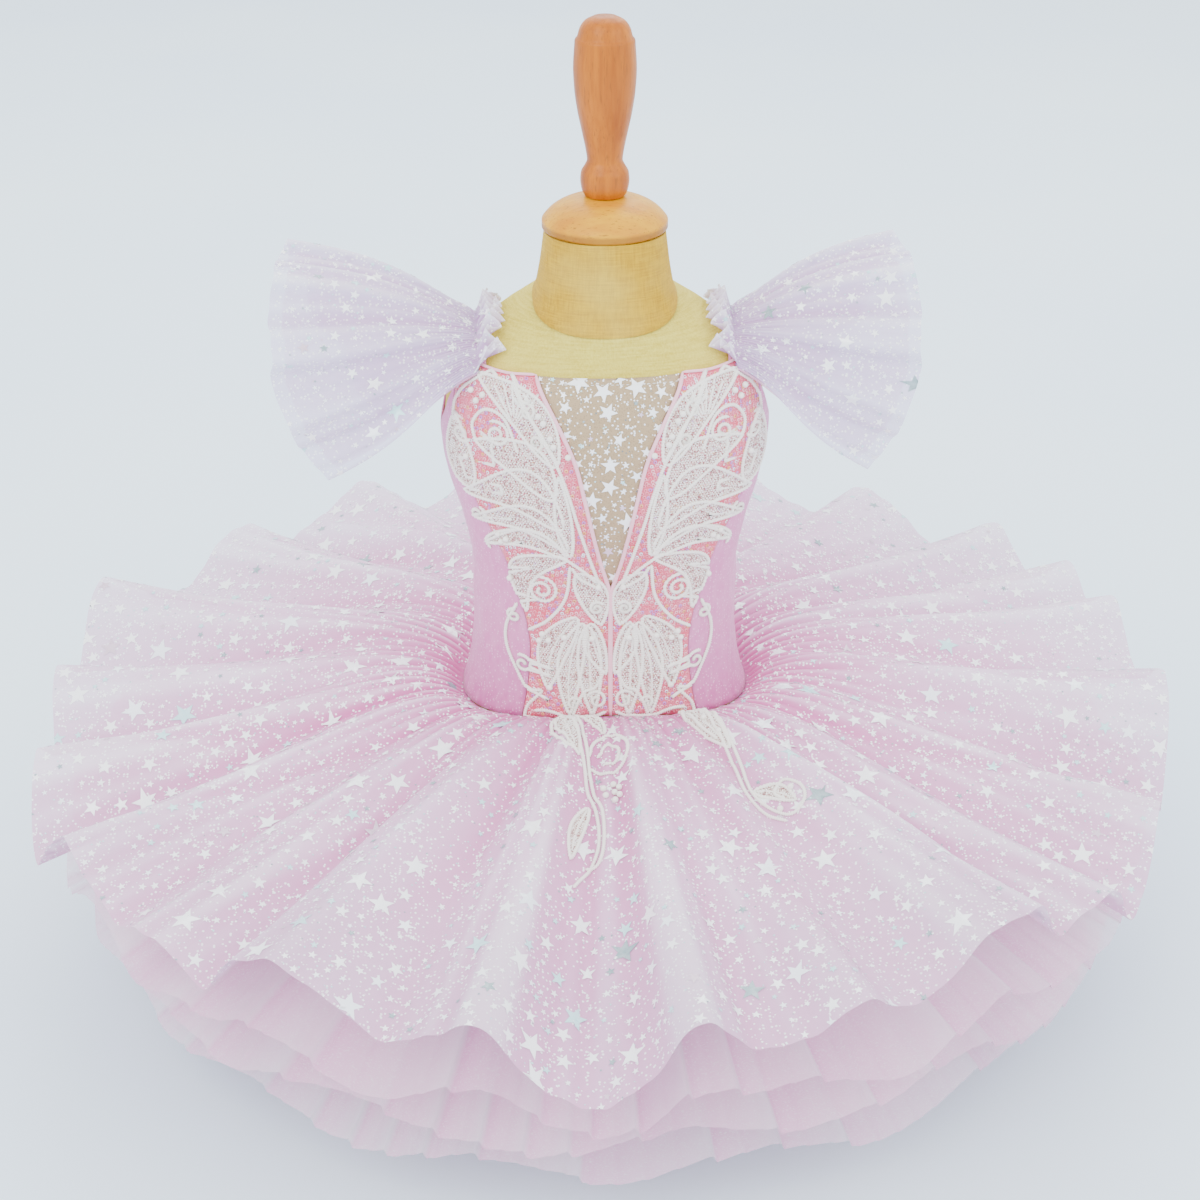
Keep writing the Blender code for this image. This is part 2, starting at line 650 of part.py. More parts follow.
def facet_value(corners, f, g):
    """Value inside a cell of two triangles, from its four corner values."""
    a, b, c, d = corners
    if f >= g:
        return a + (b - a) * f + (c - b) * g
    return a + (d - a) * g + (c - d) * f


def lace_samples(points, normals, plans, cut, cuts, paths):
    """Point, normal and depth inside the strokes at each corner of the panel's cells, cut finer."""
    across = len(points[0]) - 1
    levels = [(row, k / count) for row, count in enumerate(cuts) for k in range(count)]
    levels.append((len(cuts) - 1, 1.0))
    found = {}
    for j, (row, g) in enumerate(levels):
        for i in range(across * cut + 1):
            column = min(i // cut, across - 1)
            f = i / cut - column
            values = []
            for grid in (points, normals, plans):
                low, high = grid[row], grid[row + 1]
                corners = (low[column], low[column + 1], high[column + 1], high[column])
                values.append(facet_value(corners, f, g))
            found[(i, j)] = (values[0], values[1], stroke_depth(paths, values[2].x, values[2].y))
    return found, across * cut, len(levels) - 1


def lace_outline(found, across, up):
    """Triangles cut along the strokes' edges: their corners and faces."""
    verts, index, faces = [], {}, []

    def vertex(key):
        if key not in index:
            index[key] = len(verts)
            if len(key) == 2:
                verts.append(found[key])
            else:
                one, two = found[key[:2]], found[key[2:]]
                f = min(1 - NEAREST_CUT, max(NEAREST_CUT, one[2] / (one[2] - two[2])))
                verts.append((one[0].lerp(two[0], f), one[1].lerp(two[1], f), 0.0))
        return index[key]

    for j in range(up):
        for i in range(across):
            square = ((i, j), (i + 1, j), (i + 1, j + 1), (i, j + 1))
            for triangle in ((square[0], square[1], square[2]), (square[0], square[2], square[3])):
                outline = []
                for k in range(3):
                    one, two = triangle[k], triangle[(k + 1) % 3]
                    if found[one][2] > 0:
                        outline.append(vertex(one))
                    if (found[one][2] > 0) != (found[two][2] > 0):
                        inner, outer = (one, two) if found[one][2] > 0 else (two, one)
                        outline.append(vertex(inner + outer))
                if len(outline) > 2:
                    faces.append(outline)
    return verts, faces


def lace(collection, name, panel, cut, cuts, paths, finish):
    """Lace wall on a panel's own facets: cut to the strokes, with their middles raised."""
    verts, faces = lace_outline(*lace_samples(*panel, cut, cuts, paths))
    faces = largest_group(faces)
    used = sorted({v for face in faces for v in face})
    order = {v: k for k, v in enumerate(used)}
    count = len(used)
    below, above = [], []
    for v in used:
        place, normal, depth = verts[v]
        rise = CORD_RISE * min(1.0, depth / CORD_FLANK)
        below.append(place + LACE_GAP * normal.normalized())
        above.append(place + (LACE_GAP + LACE + rise) * normal.normalized())
    solid, edges = [], set()
    for face in faces:
        low = [order[v] for v in face]
        solid.append(tuple(k + count for k in low))
        solid.append(tuple(reversed(low)))
        edges.update(zip(low, low[1:] + low[:1]))
    for a, b in sorted(edges):
        if (b, a) not in edges:
            solid.append((a, b, b + count, a + count))
    return add_object(collection, name, below + above, solid, finish)


def largest_group(faces):
    """The largest set of faces that are joined along their edges."""
    by_edge = {}
    for k, face in enumerate(faces):
        for a, b in zip(face, face[1:] + face[:1]):
            by_edge.setdefault((min(a, b), max(a, b)), []).append(k)
    neighbours = {k: set() for k in range(len(faces))}
    for pair in by_edge.values():
        if len(pair) == 2:
            neighbours[pair[0]].add(pair[1])
            neighbours[pair[1]].add(pair[0])
    best, seen = set(), set()
    for start in range(len(faces)):
        if start in seen:
            continue
        group, queue = {start}, [start]
        while queue:
            for other in neighbours[queue.pop()]:
                if other not in group:
                    group.add(other)
                    queue.append(other)
        seen |= group
        if len(group) > len(best):
            best = group
    return [faces[k] for k in sorted(best)]


def build_lace(collection, finish):
    """Lace on the front panels and the tails on the skirt, each made from its panel's points."""
    strokes = [stroke_path(stroke) for stroke in BODICE_STROKES]
    for side in ("left", "right"):
        places = front_places(side)
        points = [[body_point(z, azimuth, FORM_GAP + CLOTH) for z, azimuth in row] for row in places]
        normals = [[body_normal(z, azimuth) for z, azimuth in row] for row in places]
        plans = [[Vector((abs(p.x), p.z)) for p in row] for row in points]
        panel = (points, normals, plans)
        lace(collection, "lace_bodice_" + side, panel, LACE_ACROSS, LACE_CUTS, strokes, finish)
    build_tails(collection, finish)


def build_tails(collection, finish):
    """Lace tails on the star layer's own facets."""
    grid = star_grid()
    tails = (
        ("right", TAIL_RIGHT_STROKES, TAIL_RIGHT_COLUMNS),
        ("left", TAIL_LEFT_STROKES, TAIL_LEFT_COLUMNS),
    )
    for side, strokes, (first, last) in tails:
        columns = list(range(last, first - 1, -1))
        points, normals, plans = [], [], []
        for j in range(1, len(grid) - 1):
            points.append([])
            normals.append([])
            plans.append([])
            for i in columns:
                here = grid[j][i % SKIRT_AROUND]
                across = grid[j][(i + 1) % SKIRT_AROUND] - grid[j][(i - 1) % SKIRT_AROUND]
                out = grid[j + 1][i % SKIRT_AROUND] - grid[j - 1][i % SKIRT_AROUND]
                normal = out.cross(across).normalized()
                if normal.z < 0:
                    normal = -normal
                root = grid[0][i % SKIRT_AROUND]
                reach = here.xy.length - root.xy.length
                points[-1].append(here + TULLE / 2 * normal)
                normals[-1].append(normal)
                plans[-1].append(Vector((here.x, reach)))
        paths = [stroke_path(stroke) for stroke in strokes]
        lace(collection, "lace_tail_" + side, (points, normals, plans), TAIL_ACROSS, TAIL_CUTS, paths, finish)


def main():
    for old in list(bpy.data.objects):
        bpy.data.objects.remove(old, do_unlink=True)
    collection = bpy.data.collections.new("ballet_dress")
    bpy.context.scene.collection.children.link(collection)
    finish = {row["name"]: material(**row) for row in FINISHES}
    build_form(collection, finish["linen"], finish["neck_linen"], finish["turned_wood"])
    build_bodice(collection, finish["sequin_cloth"], finish["stretch_cloth"], finish["star_mesh"])
    build_skirt(collection, finish["star_tulle"], finish["pink_tulle"])
    build_sleeves(collection, finish["star_tulle"], finish["pink_tulle"])
    build_lace(collection, finish["lace_thread"])


main()
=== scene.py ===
"""Looks of a ballet dress on a limbless dress form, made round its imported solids.

Metres, +Z up, the front faces -Y. Azimuths are in degrees about Z, 0 at the front, 90 at +X,
which is the wearer's left.
"""

import math

import bpy
import numpy as np
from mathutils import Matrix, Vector
from mathutils.bvhtree import BVHTree


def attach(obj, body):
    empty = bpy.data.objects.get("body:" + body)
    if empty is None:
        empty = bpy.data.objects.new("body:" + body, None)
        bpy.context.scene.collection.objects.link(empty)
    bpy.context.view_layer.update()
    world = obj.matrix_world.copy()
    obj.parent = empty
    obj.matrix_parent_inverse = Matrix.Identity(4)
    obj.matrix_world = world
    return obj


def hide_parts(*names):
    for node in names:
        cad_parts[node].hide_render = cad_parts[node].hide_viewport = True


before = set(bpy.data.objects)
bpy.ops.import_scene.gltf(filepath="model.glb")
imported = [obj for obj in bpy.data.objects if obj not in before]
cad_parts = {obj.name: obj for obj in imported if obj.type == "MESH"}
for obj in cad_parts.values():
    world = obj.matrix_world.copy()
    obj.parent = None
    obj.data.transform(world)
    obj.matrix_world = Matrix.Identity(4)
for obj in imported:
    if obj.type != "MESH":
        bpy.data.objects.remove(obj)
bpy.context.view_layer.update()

# Camera and light
CAMERA_PLACE = (-0.0763, -1.3979, 0.94)
CAMERA_TURN = (63.9, 0.0, -3.0)
CAMERA_LENS = 68.4
SENSOR = 36.0
FLOOR_SIZE = 14.0
LIGHTS = {
    "key": {"place": (-1.5, -2.0, 2.6), "size": 2.2, "energy": 70, "tint": (1.0, 0.99, 0.98)},
    "fill": {"place": (2.0, -1.5, 1.9), "size": 2.2, "energy": 34, "tint": (0.97, 0.98, 1.0)},
    "back": {"place": (0.3, 1.9, 2.4), "size": 2.0, "energy": 40, "tint": (1.0, 1.0, 1.0)},
}
SKY = (0.87, 0.935, 1.0, 1.0)
SKY_STRENGTH = 2.35

# Sides of the wearer and their sign along X
SIDES = {"left": 1, "right": -1}

# Cloth and gaps, as in the solids
SEAM_GAP = 0.0003
SEAM_SETBACK = 0.00025
FORM_GAP = 0.0009
FORM_INSET = 0.0009
CLOTH = 0.0014
INSERT_CLOTH = 0.0010
TULLE = 0.0011

# Finishes, in screen colours of 0 to 255. Clear is the opacity of tulle where it is thick and thin,
# glitter the share of specks, and along the stretch of the wood's grain on each axis. Tones that
# are drawn at random have their shares beside them.
TULLES = {
    "star_tulle": {"pale": (226, 190, 219), "deep": (206, 104, 162), "clear": (1.0, 0.66), "glitter": 0.34},
    "star_tulle_sleeve": {"pale": (218, 206, 238), "deep": (196, 146, 200), "clear": (0.90, 0.62),
                          "glitter": 0.42},
    "pink_tulle": {"pale": (250, 217, 234), "deep": (232, 162, 204), "clear": (1.0, 0.42), "glitter": 0.0},
}
LINENS = {
    "linen": {"pale": (222, 206, 92), "dark": (188, 166, 44)},
    "neck_linen": {"pale": (206, 162, 0), "dark": (170, 126, 0)},
}
WOODS = {
    "cap_wood": {"pale": (230, 172, 0), "dark": (200, 128, 0), "along": (0.25, 1.0, 1.0)},
    "handle_wood": {"pale": (206, 118, 0), "dark": (150, 74, 0), "along": (1.0, 1.0, 0.08)},
}
JERSEYS = {
    "sequin_cloth": {"pale": (230, 82, 104), "deep": (222, 78, 106), "speck": (252, 180, 190)},
    "stretch_cloth": {"pale": (218, 126, 178), "deep": (202, 100, 162), "speck": (244, 196, 224)},
}
PAINTED = {
    "foil": {"name": "silver_foil", "roughness": 0.26, "metallic": 0.08, "grain": 260, "coat_weight": 0.6},
    "sequin": {"name": "ring_sequin", "roughness": 0.28, "metallic": 0.1, "grain": 300, "coat_weight": 0.2},
    "thread": {"name": "lace_cord", "roughness": 0.62, "metallic": 0.0, "grain": 1400, "sheen_weight": 0.3},
    "glass": {"name": "lace_bead", "roughness": 0.25, "metallic": 0.0, "grain": 500, "coat_weight": 0.4},
    "piping": {"name": "satin_piping", "roughness": 0.4, "metallic": 0.0, "grain": 900, "sheen_weight": 0.4},
}
FOIL_TONES = (
    ((255, 255, 255), 0.71), ((246, 250, 255), 0.12), ((184, 228, 230), 0.11),
    ((134, 158, 162), 0.04), ((214, 186, 204), 0.02),
)
RING_TONES = (
    ((252, 172, 186), 0.34), ((244, 122, 144), 0.36), ((198, 124, 212), 0.12),
    ((242, 172, 104), 0.09), ((238, 238, 248), 0.09),
)
SEED_TONES = (((255, 254, 250), 0.72), ((240, 224, 212), 0.14), ((178, 122, 122), 0.14))
IVORY = (246, 240, 230)
PIPING_TONE = (246, 176, 192)
STITCH_TONE = (240, 238, 230)
PAPER_TONES = ((226, 242, 255), (232, 247, 255))


def rows(columns, *values):
    """Table with named columns: each column as an array."""
    return {name: np.array([row[k] for row in values]) for k, name in enumerate(columns.split())}


def table_rows(table):
    """The rows of a table, one dictionary each."""
    return [{key: values[k] for key, values in table.items()} for k in range(len(next(iter(table.values()))))]


# Dress form
BODY = rows(
    "z half_width half_depth",
    (0.000, 0.1000, 0.0790), (0.004, 0.1040, 0.0830), (0.050, 0.1080, 0.0860), (0.100, 0.1090, 0.0870),
    (0.150, 0.1060, 0.0835), (0.185, 0.0985, 0.0775), (0.206, 0.0920, 0.0735), (0.224, 0.0878, 0.0708),
    (0.250, 0.0856, 0.0692), (0.289, 0.0862, 0.0702), (0.327, 0.0925, 0.0742), (0.354, 0.1000, 0.0768),
    (0.390, 0.1055, 0.0755), (0.410, 0.1040, 0.0715), (0.430, 0.0980, 0.0645), (0.445, 0.0870, 0.0565),
    (0.456, 0.0720, 0.0505), (0.464, 0.0570, 0.0465), (0.470, 0.0465, 0.0440),
)
BODY_SQUARENESS = 2.3
NECK_LEAN = 0.28
LEAN_START = 0.420
NECK_SEAM = 0.470
NECK_TOP = 0.5165
NECK = rows(
    "share half_width half_depth",
    (0.00, 0.0462, 0.0437), (0.25, 0.0437, 0.0421), (0.55, 0.0413, 0.0404),
    (0.85, 0.0395, 0.0390), (1.00, 0.0386, 0.0384),
)
CAP = rows(
    "radius z",
    (0.0120, 0.5376), (0.0200, 0.5362), (0.0280, 0.5333), (0.0345, 0.5292), (0.0385, 0.5250),
    (0.0400, 0.5225), (0.0400, 0.5185), (0.0388, 0.5168),
)
CAP_RIM = 0.5222
HANDLE = rows(
    "radius z",
    (0.0070, 0.6494), (0.0125, 0.6465), (0.0157, 0.6420), (0.0172, 0.6370), (0.0186, 0.6350),
    (0.0190, 0.6300), (0.0197, 0.6180), (0.0190, 0.6050), (0.0172, 0.5920), (0.0145, 0.5790),
    (0.0120, 0.5670), (0.0112, 0.5610), (0.0126, 0.5575), (0.0150, 0.5530), (0.0155, 0.5480),
    (0.0146, 0.5420), (0.0125, 0.5381),
)
FORM_SIDES = 128
LATHE_SIDES = 72

# Bodice seams and top edges
V_POINT = 0.296
TOP_EDGE = 0.443
V_EDGE = rows("z azimuth", (0.296, 0.0), (0.321, 5.5), (0.359, 11.5), (0.387, 16.5), (0.410, 25.0),
              (0.427, 33.5), (0.443, 41.0))
SIDE_SEAM = rows("z azimuth", (0.190, 43.0), (0.250, 41.0), (0.300, 48.0), (0.350, 60.0),
                 (0.390, 68.0), (0.425, 74.0))
BACK_SEAM = rows("z azimuth", (0.190, 136.0), (0.250, 138.0), (0.300, 132.0), (0.350, 120.0),
                 (0.390, 112.0), (0.425, 107.0))
FRONT_TOP = rows("azimuth z", (0.0, 0.443), (41.0, 0.443), (55.0, 0.441), (68.0, 0.441), (74.0, 0.424))
SIDE_TOP = rows("azimuth z", (74.0, 0.422), (80.0, 0.400), (90.0, 0.387), (98.0, 0.392), (107.0, 0.418))
BACK_TOP = rows("azimuth z", (107.0, 0.422), (113.0, 0.440), (126.0, 0.440), (145.0, 0.424),
                (165.0, 0.412), (180.0, 0.410))
TOP_CROWDING = 0.35
HIP_SEAM = 0.200
HIP_DIP = 0.006
STRAP_INNER = 0.0765
STRAP_OUTER = 0.0860
STRAP_FRONT_Z = 0.4415
STRAP_BACK_Z = 0.4405

# Low creases of the bodice: where each starts and ends, its half-width and its height
CREASE_COLUMNS = "low_z low_azimuth high_z high_azimuth width height"
FRONT_CREASES = rows(
    CREASE_COLUMNS,
    (0.204, 14, 0.238, 18, 0.0040, 0.0009), (0.204, 30, 0.245, 27, 0.0045, 0.0009),
)
SIDE_CREASES = rows(
    CREASE_COLUMNS,
    (0.205, 60, 0.270, 75, 0.0040, 0.0010), (0.205, 95, 0.290, 84, 0.0045, 0.0012),
    (0.212, 118, 0.285, 104, 0.0040, 0.0010), (0.300, 92, 0.380, 86, 0.0050, 0.0008),
)
BACK_CREASES = rows(
    CREASE_COLUMNS,
    (0.206, 150, 0.280, 158, 0.0050, 0.0011), (0.206, 172, 0.260, 168, 0.0045, 0.0010),
)
CREASE_RADIUS = 0.085
CREASE_FADE = 6

# Painted shade, a deeper colour of the bodice near the hip seam: where it starts to fade and over what height
SHADE_FOOT = 0.205
SHADE_RISE = 0.05

# Bodice pieces: cells across and up, points up and across of the insert, points across and along
# of a strap, and the flat cut's width and length with its area
FRONT_GRID, SIDE_GRID, BACK_GRID = (44, 84), (40, 70), (36, 74)
INSERT_GRID, STRAP_GRID = (60, 36), (9, 40)
INSERT_FOOT = 0.006
FRONT_FLAT = ((0.112, 0.243), 0.0163)
SIDE_FLAT = ((0.150, 0.232), 0.0263)
BACK_FLAT = ((0.228, 0.250), 0.0364)
INSERT_FLAT = ((0.096, 0.150), 0.0060)

# Star layer of the skirt: its hem's crests and troughs
FOLDS = rows(
    "azimuth z radius",
    (-177.0, 0.168, 0.380), (-170.0, 0.198, 0.388), (-160.0, 0.170, 0.380), (-151.0, 0.198, 0.389),
    (-142.0, 0.168, 0.380), (-134.0, 0.192, 0.387), (-123.0, 0.166, 0.380), (-108.0, 0.210, 0.390),
    (-100.0, 0.176, 0.380), (-94.0, 0.192, 0.385), (-87.0, 0.160, 0.379), (-82.0, 0.174, 0.388),
    (-75.0, 0.134, 0.396), (-64.0, 0.176, 0.385), (-55.0, 0.154, 0.384), (-48.0, 0.168, 0.386),
    (-42.0, 0.152, 0.386), (-36.0, 0.182, 0.385), (-31.0, 0.188, 0.384), (-22.0, 0.158, 0.386),
    (-14.0, 0.178, 0.387), (-8.5, 0.141, 0.391), (-3.5, 0.133, 0.393), (0.5, 0.146, 0.390),
    (4.5, 0.182, 0.385), (11.0, 0.158, 0.386), (19.0, 0.178, 0.388), (25.0, 0.166, 0.385),
    (31.0, 0.193, 0.384), (36.0, 0.198, 0.384), (43.0, 0.164, 0.384), (49.0, 0.174, 0.388),
    (56.0, 0.138, 0.392), (66.0, 0.172, 0.384), (73.0, 0.150, 0.383), (84.0, 0.203, 0.387),
    (92.0, 0.176, 0.380), (101.0, 0.204, 0.388), (106.0, 0.190, 0.383), (110.0, 0.207, 0.388),
    (116.0, 0.180, 0.380), (123.0, 0.204, 0.388), (132.0, 0.170, 0.380), (142.0, 0.196, 0.388),
    (151.0, 0.168, 0.380), (160.0, 0.198, 0.389), (169.0, 0.168, 0.380), (176.0, 0.196, 0.388),
)
MEAN_HEM = 0.175
FLAT_ROOT = 0.013
ROOT_PITCH = 0.0015
ROOT_EASE = 0.0002
PUFF_PEAK = 0.20
FOLD_GROWTH = 1.15
STAR_PUFF = 0.016
FOLD_ROLL = 0.40
GATHERS = 108
GATHER_DEPTH = 0.0042
BROAD_FLUTE = 0.0019
NARROW_FLUTE = 0.0016
RIPPLE = 0.0007
BACK_TURN = 173
BACK_SHARE = 0.9
STAR_COLUMNS = 960
STAR_ROWS = 48

# Creases of the star layer: azimuth at the waist and at the hem, share of the way where
# each starts and ends, half-width in degrees and height, below 0 for a trough
CREASES = rows(
    "waist hem start end width height",
    (-5.0, -6.5, 0.05, 1.00, 1.7, -0.0060), (1.0, -0.5, 0.12, 1.00, 1.5, -0.0055),
    (-3.0, -3.5, 0.10, 1.00, 1.2, 0.0040), (-14.0, -19.0, 0.04, 0.62, 1.6, 0.0035),
    (-19.0, -29.0, 0.03, 0.85, 1.9, -0.0045), (-27.0, -38.0, 0.02, 0.70, 1.7, 0.0040),
    (-35.0, -47.0, 0.02, 0.95, 1.5, -0.0050), (-44.0, -58.0, 0.02, 0.75, 1.6, 0.0040),
    (-53.0, -69.0, 0.02, 0.90, 1.4, -0.0042), (-63.0, -78.0, 0.01, 0.70, 1.5, 0.0038),
    (-72.0, -86.0, 0.01, 0.85, 1.5, -0.0040), (-84.0, -97.0, 0.01, 0.70, 1.7, 0.0036),
    (9.0, 15.0, 0.05, 0.75, 1.8, 0.0036), (15.0, 22.0, 0.03, 0.95, 1.6, -0.0045),
    (24.0, 33.0, 0.02, 0.70, 1.8, -0.0035), (31.0, 44.0, 0.02, 1.00, 1.3, 0.0062),
    (35.0, 49.0, 0.02, 0.90, 1.4, -0.0050), (47.0, 61.0, 0.02, 0.75, 1.6, 0.0040),
    (56.0, 71.0, 0.01, 0.95, 1.5, -0.0045), (68.0, 82.0, 0.01, 0.70, 1.5, 0.0040),
    (79.0, 93.0, 0.01, 0.85, 1.6, -0.0040),
)

# Plain pink layers under the star layer
PINK = rows(
    "hem_z hem_radius share wave waves puff letters",
    (0.120, 0.374, 0.40, 0.0095, 14, 0.007, 16),
    (0.085, 0.362, 0.15, 0.0090, 12, 0.002, 17),
    (0.050, 0.347, 0.05, 0.0090, 13, 0.000, 16),
)
PINK_NAMES = ("skirt_pink_upper", "skirt_pink_middle", "skirt_pink_lower")
PINK_GRID = (26, 960)
PINK_LAPS = 46
LAP_RISE = 0.0050

# Sleeves: the free edge from the front tail over the top to the back tail, on the side at +X
SLEEVE_EDGE = rows(
    "share x y z",
    (-1.00, 0.174, -0.050, 0.372), (-0.75, 0.191, -0.062, 0.400), (-0.45, 0.203, -0.060, 0.448),
    (-0.15, 0.203, -0.030, 0.489), (0.00, 0.200, -0.006, 0.502), (0.20, 0.197, 0.024, 0.499),
    (0.50, 0.189, 0.055, 0.460), (0.80, 0.165, 0.062, 0.404), (1.00, 0.147, 0.056, 0.368),
)
SLEEVE_ROOT_X = 0.0800
SLEEVE_ROOT_Y = 0.0385
SLEEVE_OUT = 0.0048
SLEEVE_STEP = 0.0018
SLEEVE_DROP = 0.0045
SLEEVE_WAVES = 7
SLEEVE_WAVE = 0.0055
SLEEVE_BULGE = 0.010
SLEEVE_RIPPLE = 0.0017
SLEEVE_GATHER = 0.0026
TUCK = 0.0012
SLEEVE_SPREAD = {"left": 0.965, "right": 1.035}
SLEEVE_GRID = (34, 260)
SLEEVE_UNDER_ROWS = 24
SLEEVE_UNDER_REACH = 0.93

# Frilled header of the sleeve: its rows, how far it stands in and up, and its shorter rear end
HEADER_ROWS = np.array((-1.0, -0.8, -0.6, -0.45, -0.3, -0.18, -0.08))
HEADER_IN = 0.0128
HEADER_END = 0.22
HEADER_LEAST = 0.30
FRILL_RIPPLE = 0.0020
FRILL_UP = 0.0130
FRILL_WAVE = 0.0052

# Lace on the bodice, in mm from the middle and above the base
LEAF_COLUMNS = "base_u base_z tip_u tip_z half_width bend"
LEAVES = rows(
    LEAF_COLUMNS,
    (30, 343, 92, 357, 14.5, 18), (27, 327, 87, 339, 9.0, 15), (28, 321, 79, 322, 6.5, 12),
    (28, 321, 54, 278, 9.0, 17), (21, 310, 6, 272, 9.5, -3), (26, 322, 33, 378, 5.0, -1),
    (89, 360, 98, 408, 10.5, -4), (34, 385, 82, 435, 11.5, 9), (35, 363, 84, 396, 12.0, 9),
    (13, 273, 3, 236, 6.5, 2), (15, 271, 12, 207, 7.5, 0), (18, 273, 27, 207, 8.0, 4),
    (22, 277, 41, 224, 9.5, 6),
)
SCROLLS = rows(
    "u z radius start turns",
    (71, 402, 8.5, 60, 1.60), (93, 397, 5.5, 200, 1.30), (84, 343, 5.5, 100, 1.35),
    (44, 295, 10.5, 75, 1.95), (9, 284, 5.0, 150, -1.50), (57, 238, 6.5, 60, 1.35),
    (62, 272, 5.0, 100, -1.20), (9, 217, 7.0, 20, 1.35), (24, 214, 5.0, 160, -1.20),
    (52, 418, 6.0, 20, 1.30), (47, 400, 4.6, 250, -1.20),
)
CORDS = {
    "edge": [(7, 301), (14, 322), (21, 345), (27, 366), (35, 388), (46, 407), (55, 424), (62, 440)],
    "edge_inner": [(33, 386), (43, 404), (54, 420), (60, 432)],
    "outer": [(66, 441), (80, 434), (92, 424), (99, 408), (97, 389), (92, 372), (88, 358)],
    "shoulder": [(58, 392), (66, 412), (78, 416), (86, 406), (84, 394)],
    "third": [(27, 322), (41, 336), (58, 339), (72, 333), (79, 324), (76, 318)],
    "waist": [(9, 303), (17, 311), (26, 318), (33, 322)],
    "stem": [(5, 297), (12, 301), (20, 306), (25, 314)],
    "wing": [(26, 315), (29, 291), (40, 274), (53, 264)],
    "side": [(60, 282), (67, 264), (67, 248), (61, 233), (54, 221), (45, 221), (54, 210), (57, 200)],
    "foot": [(4, 238), (10, 226), (18, 222), (25, 206)],
    "hem": [(3, 209), (13, 205), (26, 204), (40, 208), (50, 207)],
}
PEARLS = [
    (66, 330), (71, 332), (69, 327), (44, 263), (40, 259), (46, 258), (83, 420),
    (79, 424), (86, 425), (45, 416), (42, 412), (36, 398), (38, 403), (8, 300),
    (64, 300), (30, 262), (12, 262), (54, 229), (90, 383), (27, 392),
]
RIBBED_BELOW = 280
FAN = {"centre": (60, 409), "reach": 25.0, "first": 48, "last": 128, "ribs": 7}

# Lace tails on the skirt, in mm across and out from the hip seam
TAIL_CORDS = {
    "right": [
        [(-28, -1), (-26, 22), (-23, 48), (-21, 72), (-20, 92), (-15, 106), (-14, 128), (-18, 144),
         (-32, 166)],
        [(-24, 0), (-22, 24), (-19, 50), (-18, 74), (-16, 92), (-11, 106), (-11, 130), (-15, 146),
         (-24, 150)],
        [(-18, 62), (-13, 48), (-4, 42), (5, 48), (8, 62), (3, 74), (-7, 78), (-17, 72)],
        [(-12, 62), (-5, 52), (2, 58), (0, 68), (-8, 70)],
        [(-30, 2), (-38, 18), (-40, 36), (-34, 54), (-25, 60)],
    ],
    "left": [
        [(56, -14), (65, 14), (73, 50), (79, 77), (83, 99), (92, 113), (104, 121), (114, 114),
         (113, 102), (103, 96), (97, 103), (103, 109)],
        [(52, -11), (61, 18), (69, 52), (75, 79), (79, 101), (88, 117), (102, 126)],
        [(46, -8), (50, 14), (57, 34), (66, 50)],
    ],
}
TAIL_LEAVES = {
    "right": rows(LEAF_COLUMNS, (-31, 1, -24, 62, 6.5, 3), (-20, 104, -33, 146, 4.0, 2),
                  (-24, 2, -6, 38, 4.5, -3)),
    "left": rows(LEAF_COLUMNS, (48, -6, 73, 60, 7.5, 2), (84, 98, 109, 112, 5.0, -3)),
}
TAIL_PEARLS = {
    "right": [(-4, 88), (1, 91), (-9, 91), (1, 97), (-8, 97), (-3, 100), (-3.5, 94)],
    "left": [(60, 26), (67, 44), (107, 103), (99, 116)],
}

# How far across the bodice lace's plan runs before it is drawn in where the cloth rounds away, and
# where each motif's plan is laid on the cloth from
LACE_WRAP = 0.097
HIP_FRONT = 0.0765
AHEAD, ABOVE = -0.3, 0.4

# Sizes of what is set on the cloth; rings are scattered in cells of their panel, seeds in mm
CORD_RADIUS = 0.00115
RIB_RADIUS = 0.00075
PIPING_RADIUS = 0.0013
PEARL_RADIUS = 0.0021
PEARL_GRAIN = (8, 12)
SEED_RADIUS = 0.00074
SEED_GRAIN = (2, 5)
SEED_PITCH = 0.00180
SEED_SCATTER = 0.16
BEADING = 4
BEAD_SWELL = 0.24
NET_PITCH = 0.0015
NET_CELLS = 560.0
NET_LIFT = 0.0005
RING_RADIUS = 0.00125
RING_PITCH = 0.0031
RING_SIDES = 8
RING_HOLE = 0.45
RING_LIFTS = (0.0003, 0.0006)
RING_UNEVEN = 0.00008
RING_SCATTER = 0.16
STITCHES = 26
STITCH_ROW = 3.4
STITCH_RADIUS = 0.00035
TOP_PIPING = 0.0010

# Starts of the random draws; a piece on the left adds one and one on the right takes one off
SEEDS = {"skirt": 11, "insert": 12, "sleeve": 21, "sequins": 30, "lace_bodice": 40, "lace_tail": 60}

# Foil stars: how many of each range of sizes, the large ones first, and how many dots of glitter
STAR_WAIST = 0.42
STAR_LIFT = 0.00035
LARGE_STAR = 0.0045
SKIRT_STARS = [(150, 0.0078, 0.0098), (420, 0.0045, 0.0062), (2000, 0.0020, 0.0032)]
SLEEVE_STARS = [(14, 0.0052, 0.0070), (44, 0.0030, 0.0042), (170, 0.0014, 0.0023)]
INSERT_STARS = [(8, 0.0062, 0.0080), (14, 0.0036, 0.0048), (36, 0.0018, 0.0026)]
SKIRT_DOTS, SLEEVE_DOTS, INSERT_DOTS = 12000, 1100, 240
DOT_SIZES = (0.0005, 0.00095)
DOT_LIFT = 0.0003
DOT_OUTLINE = np.array(((1.0, 0.0), (0.0, 0.8), (-1.0, 0.0), (0.0, -0.8)))
DOT_FACES = np.array(((0, 1, 2), (0, 2, 3)))


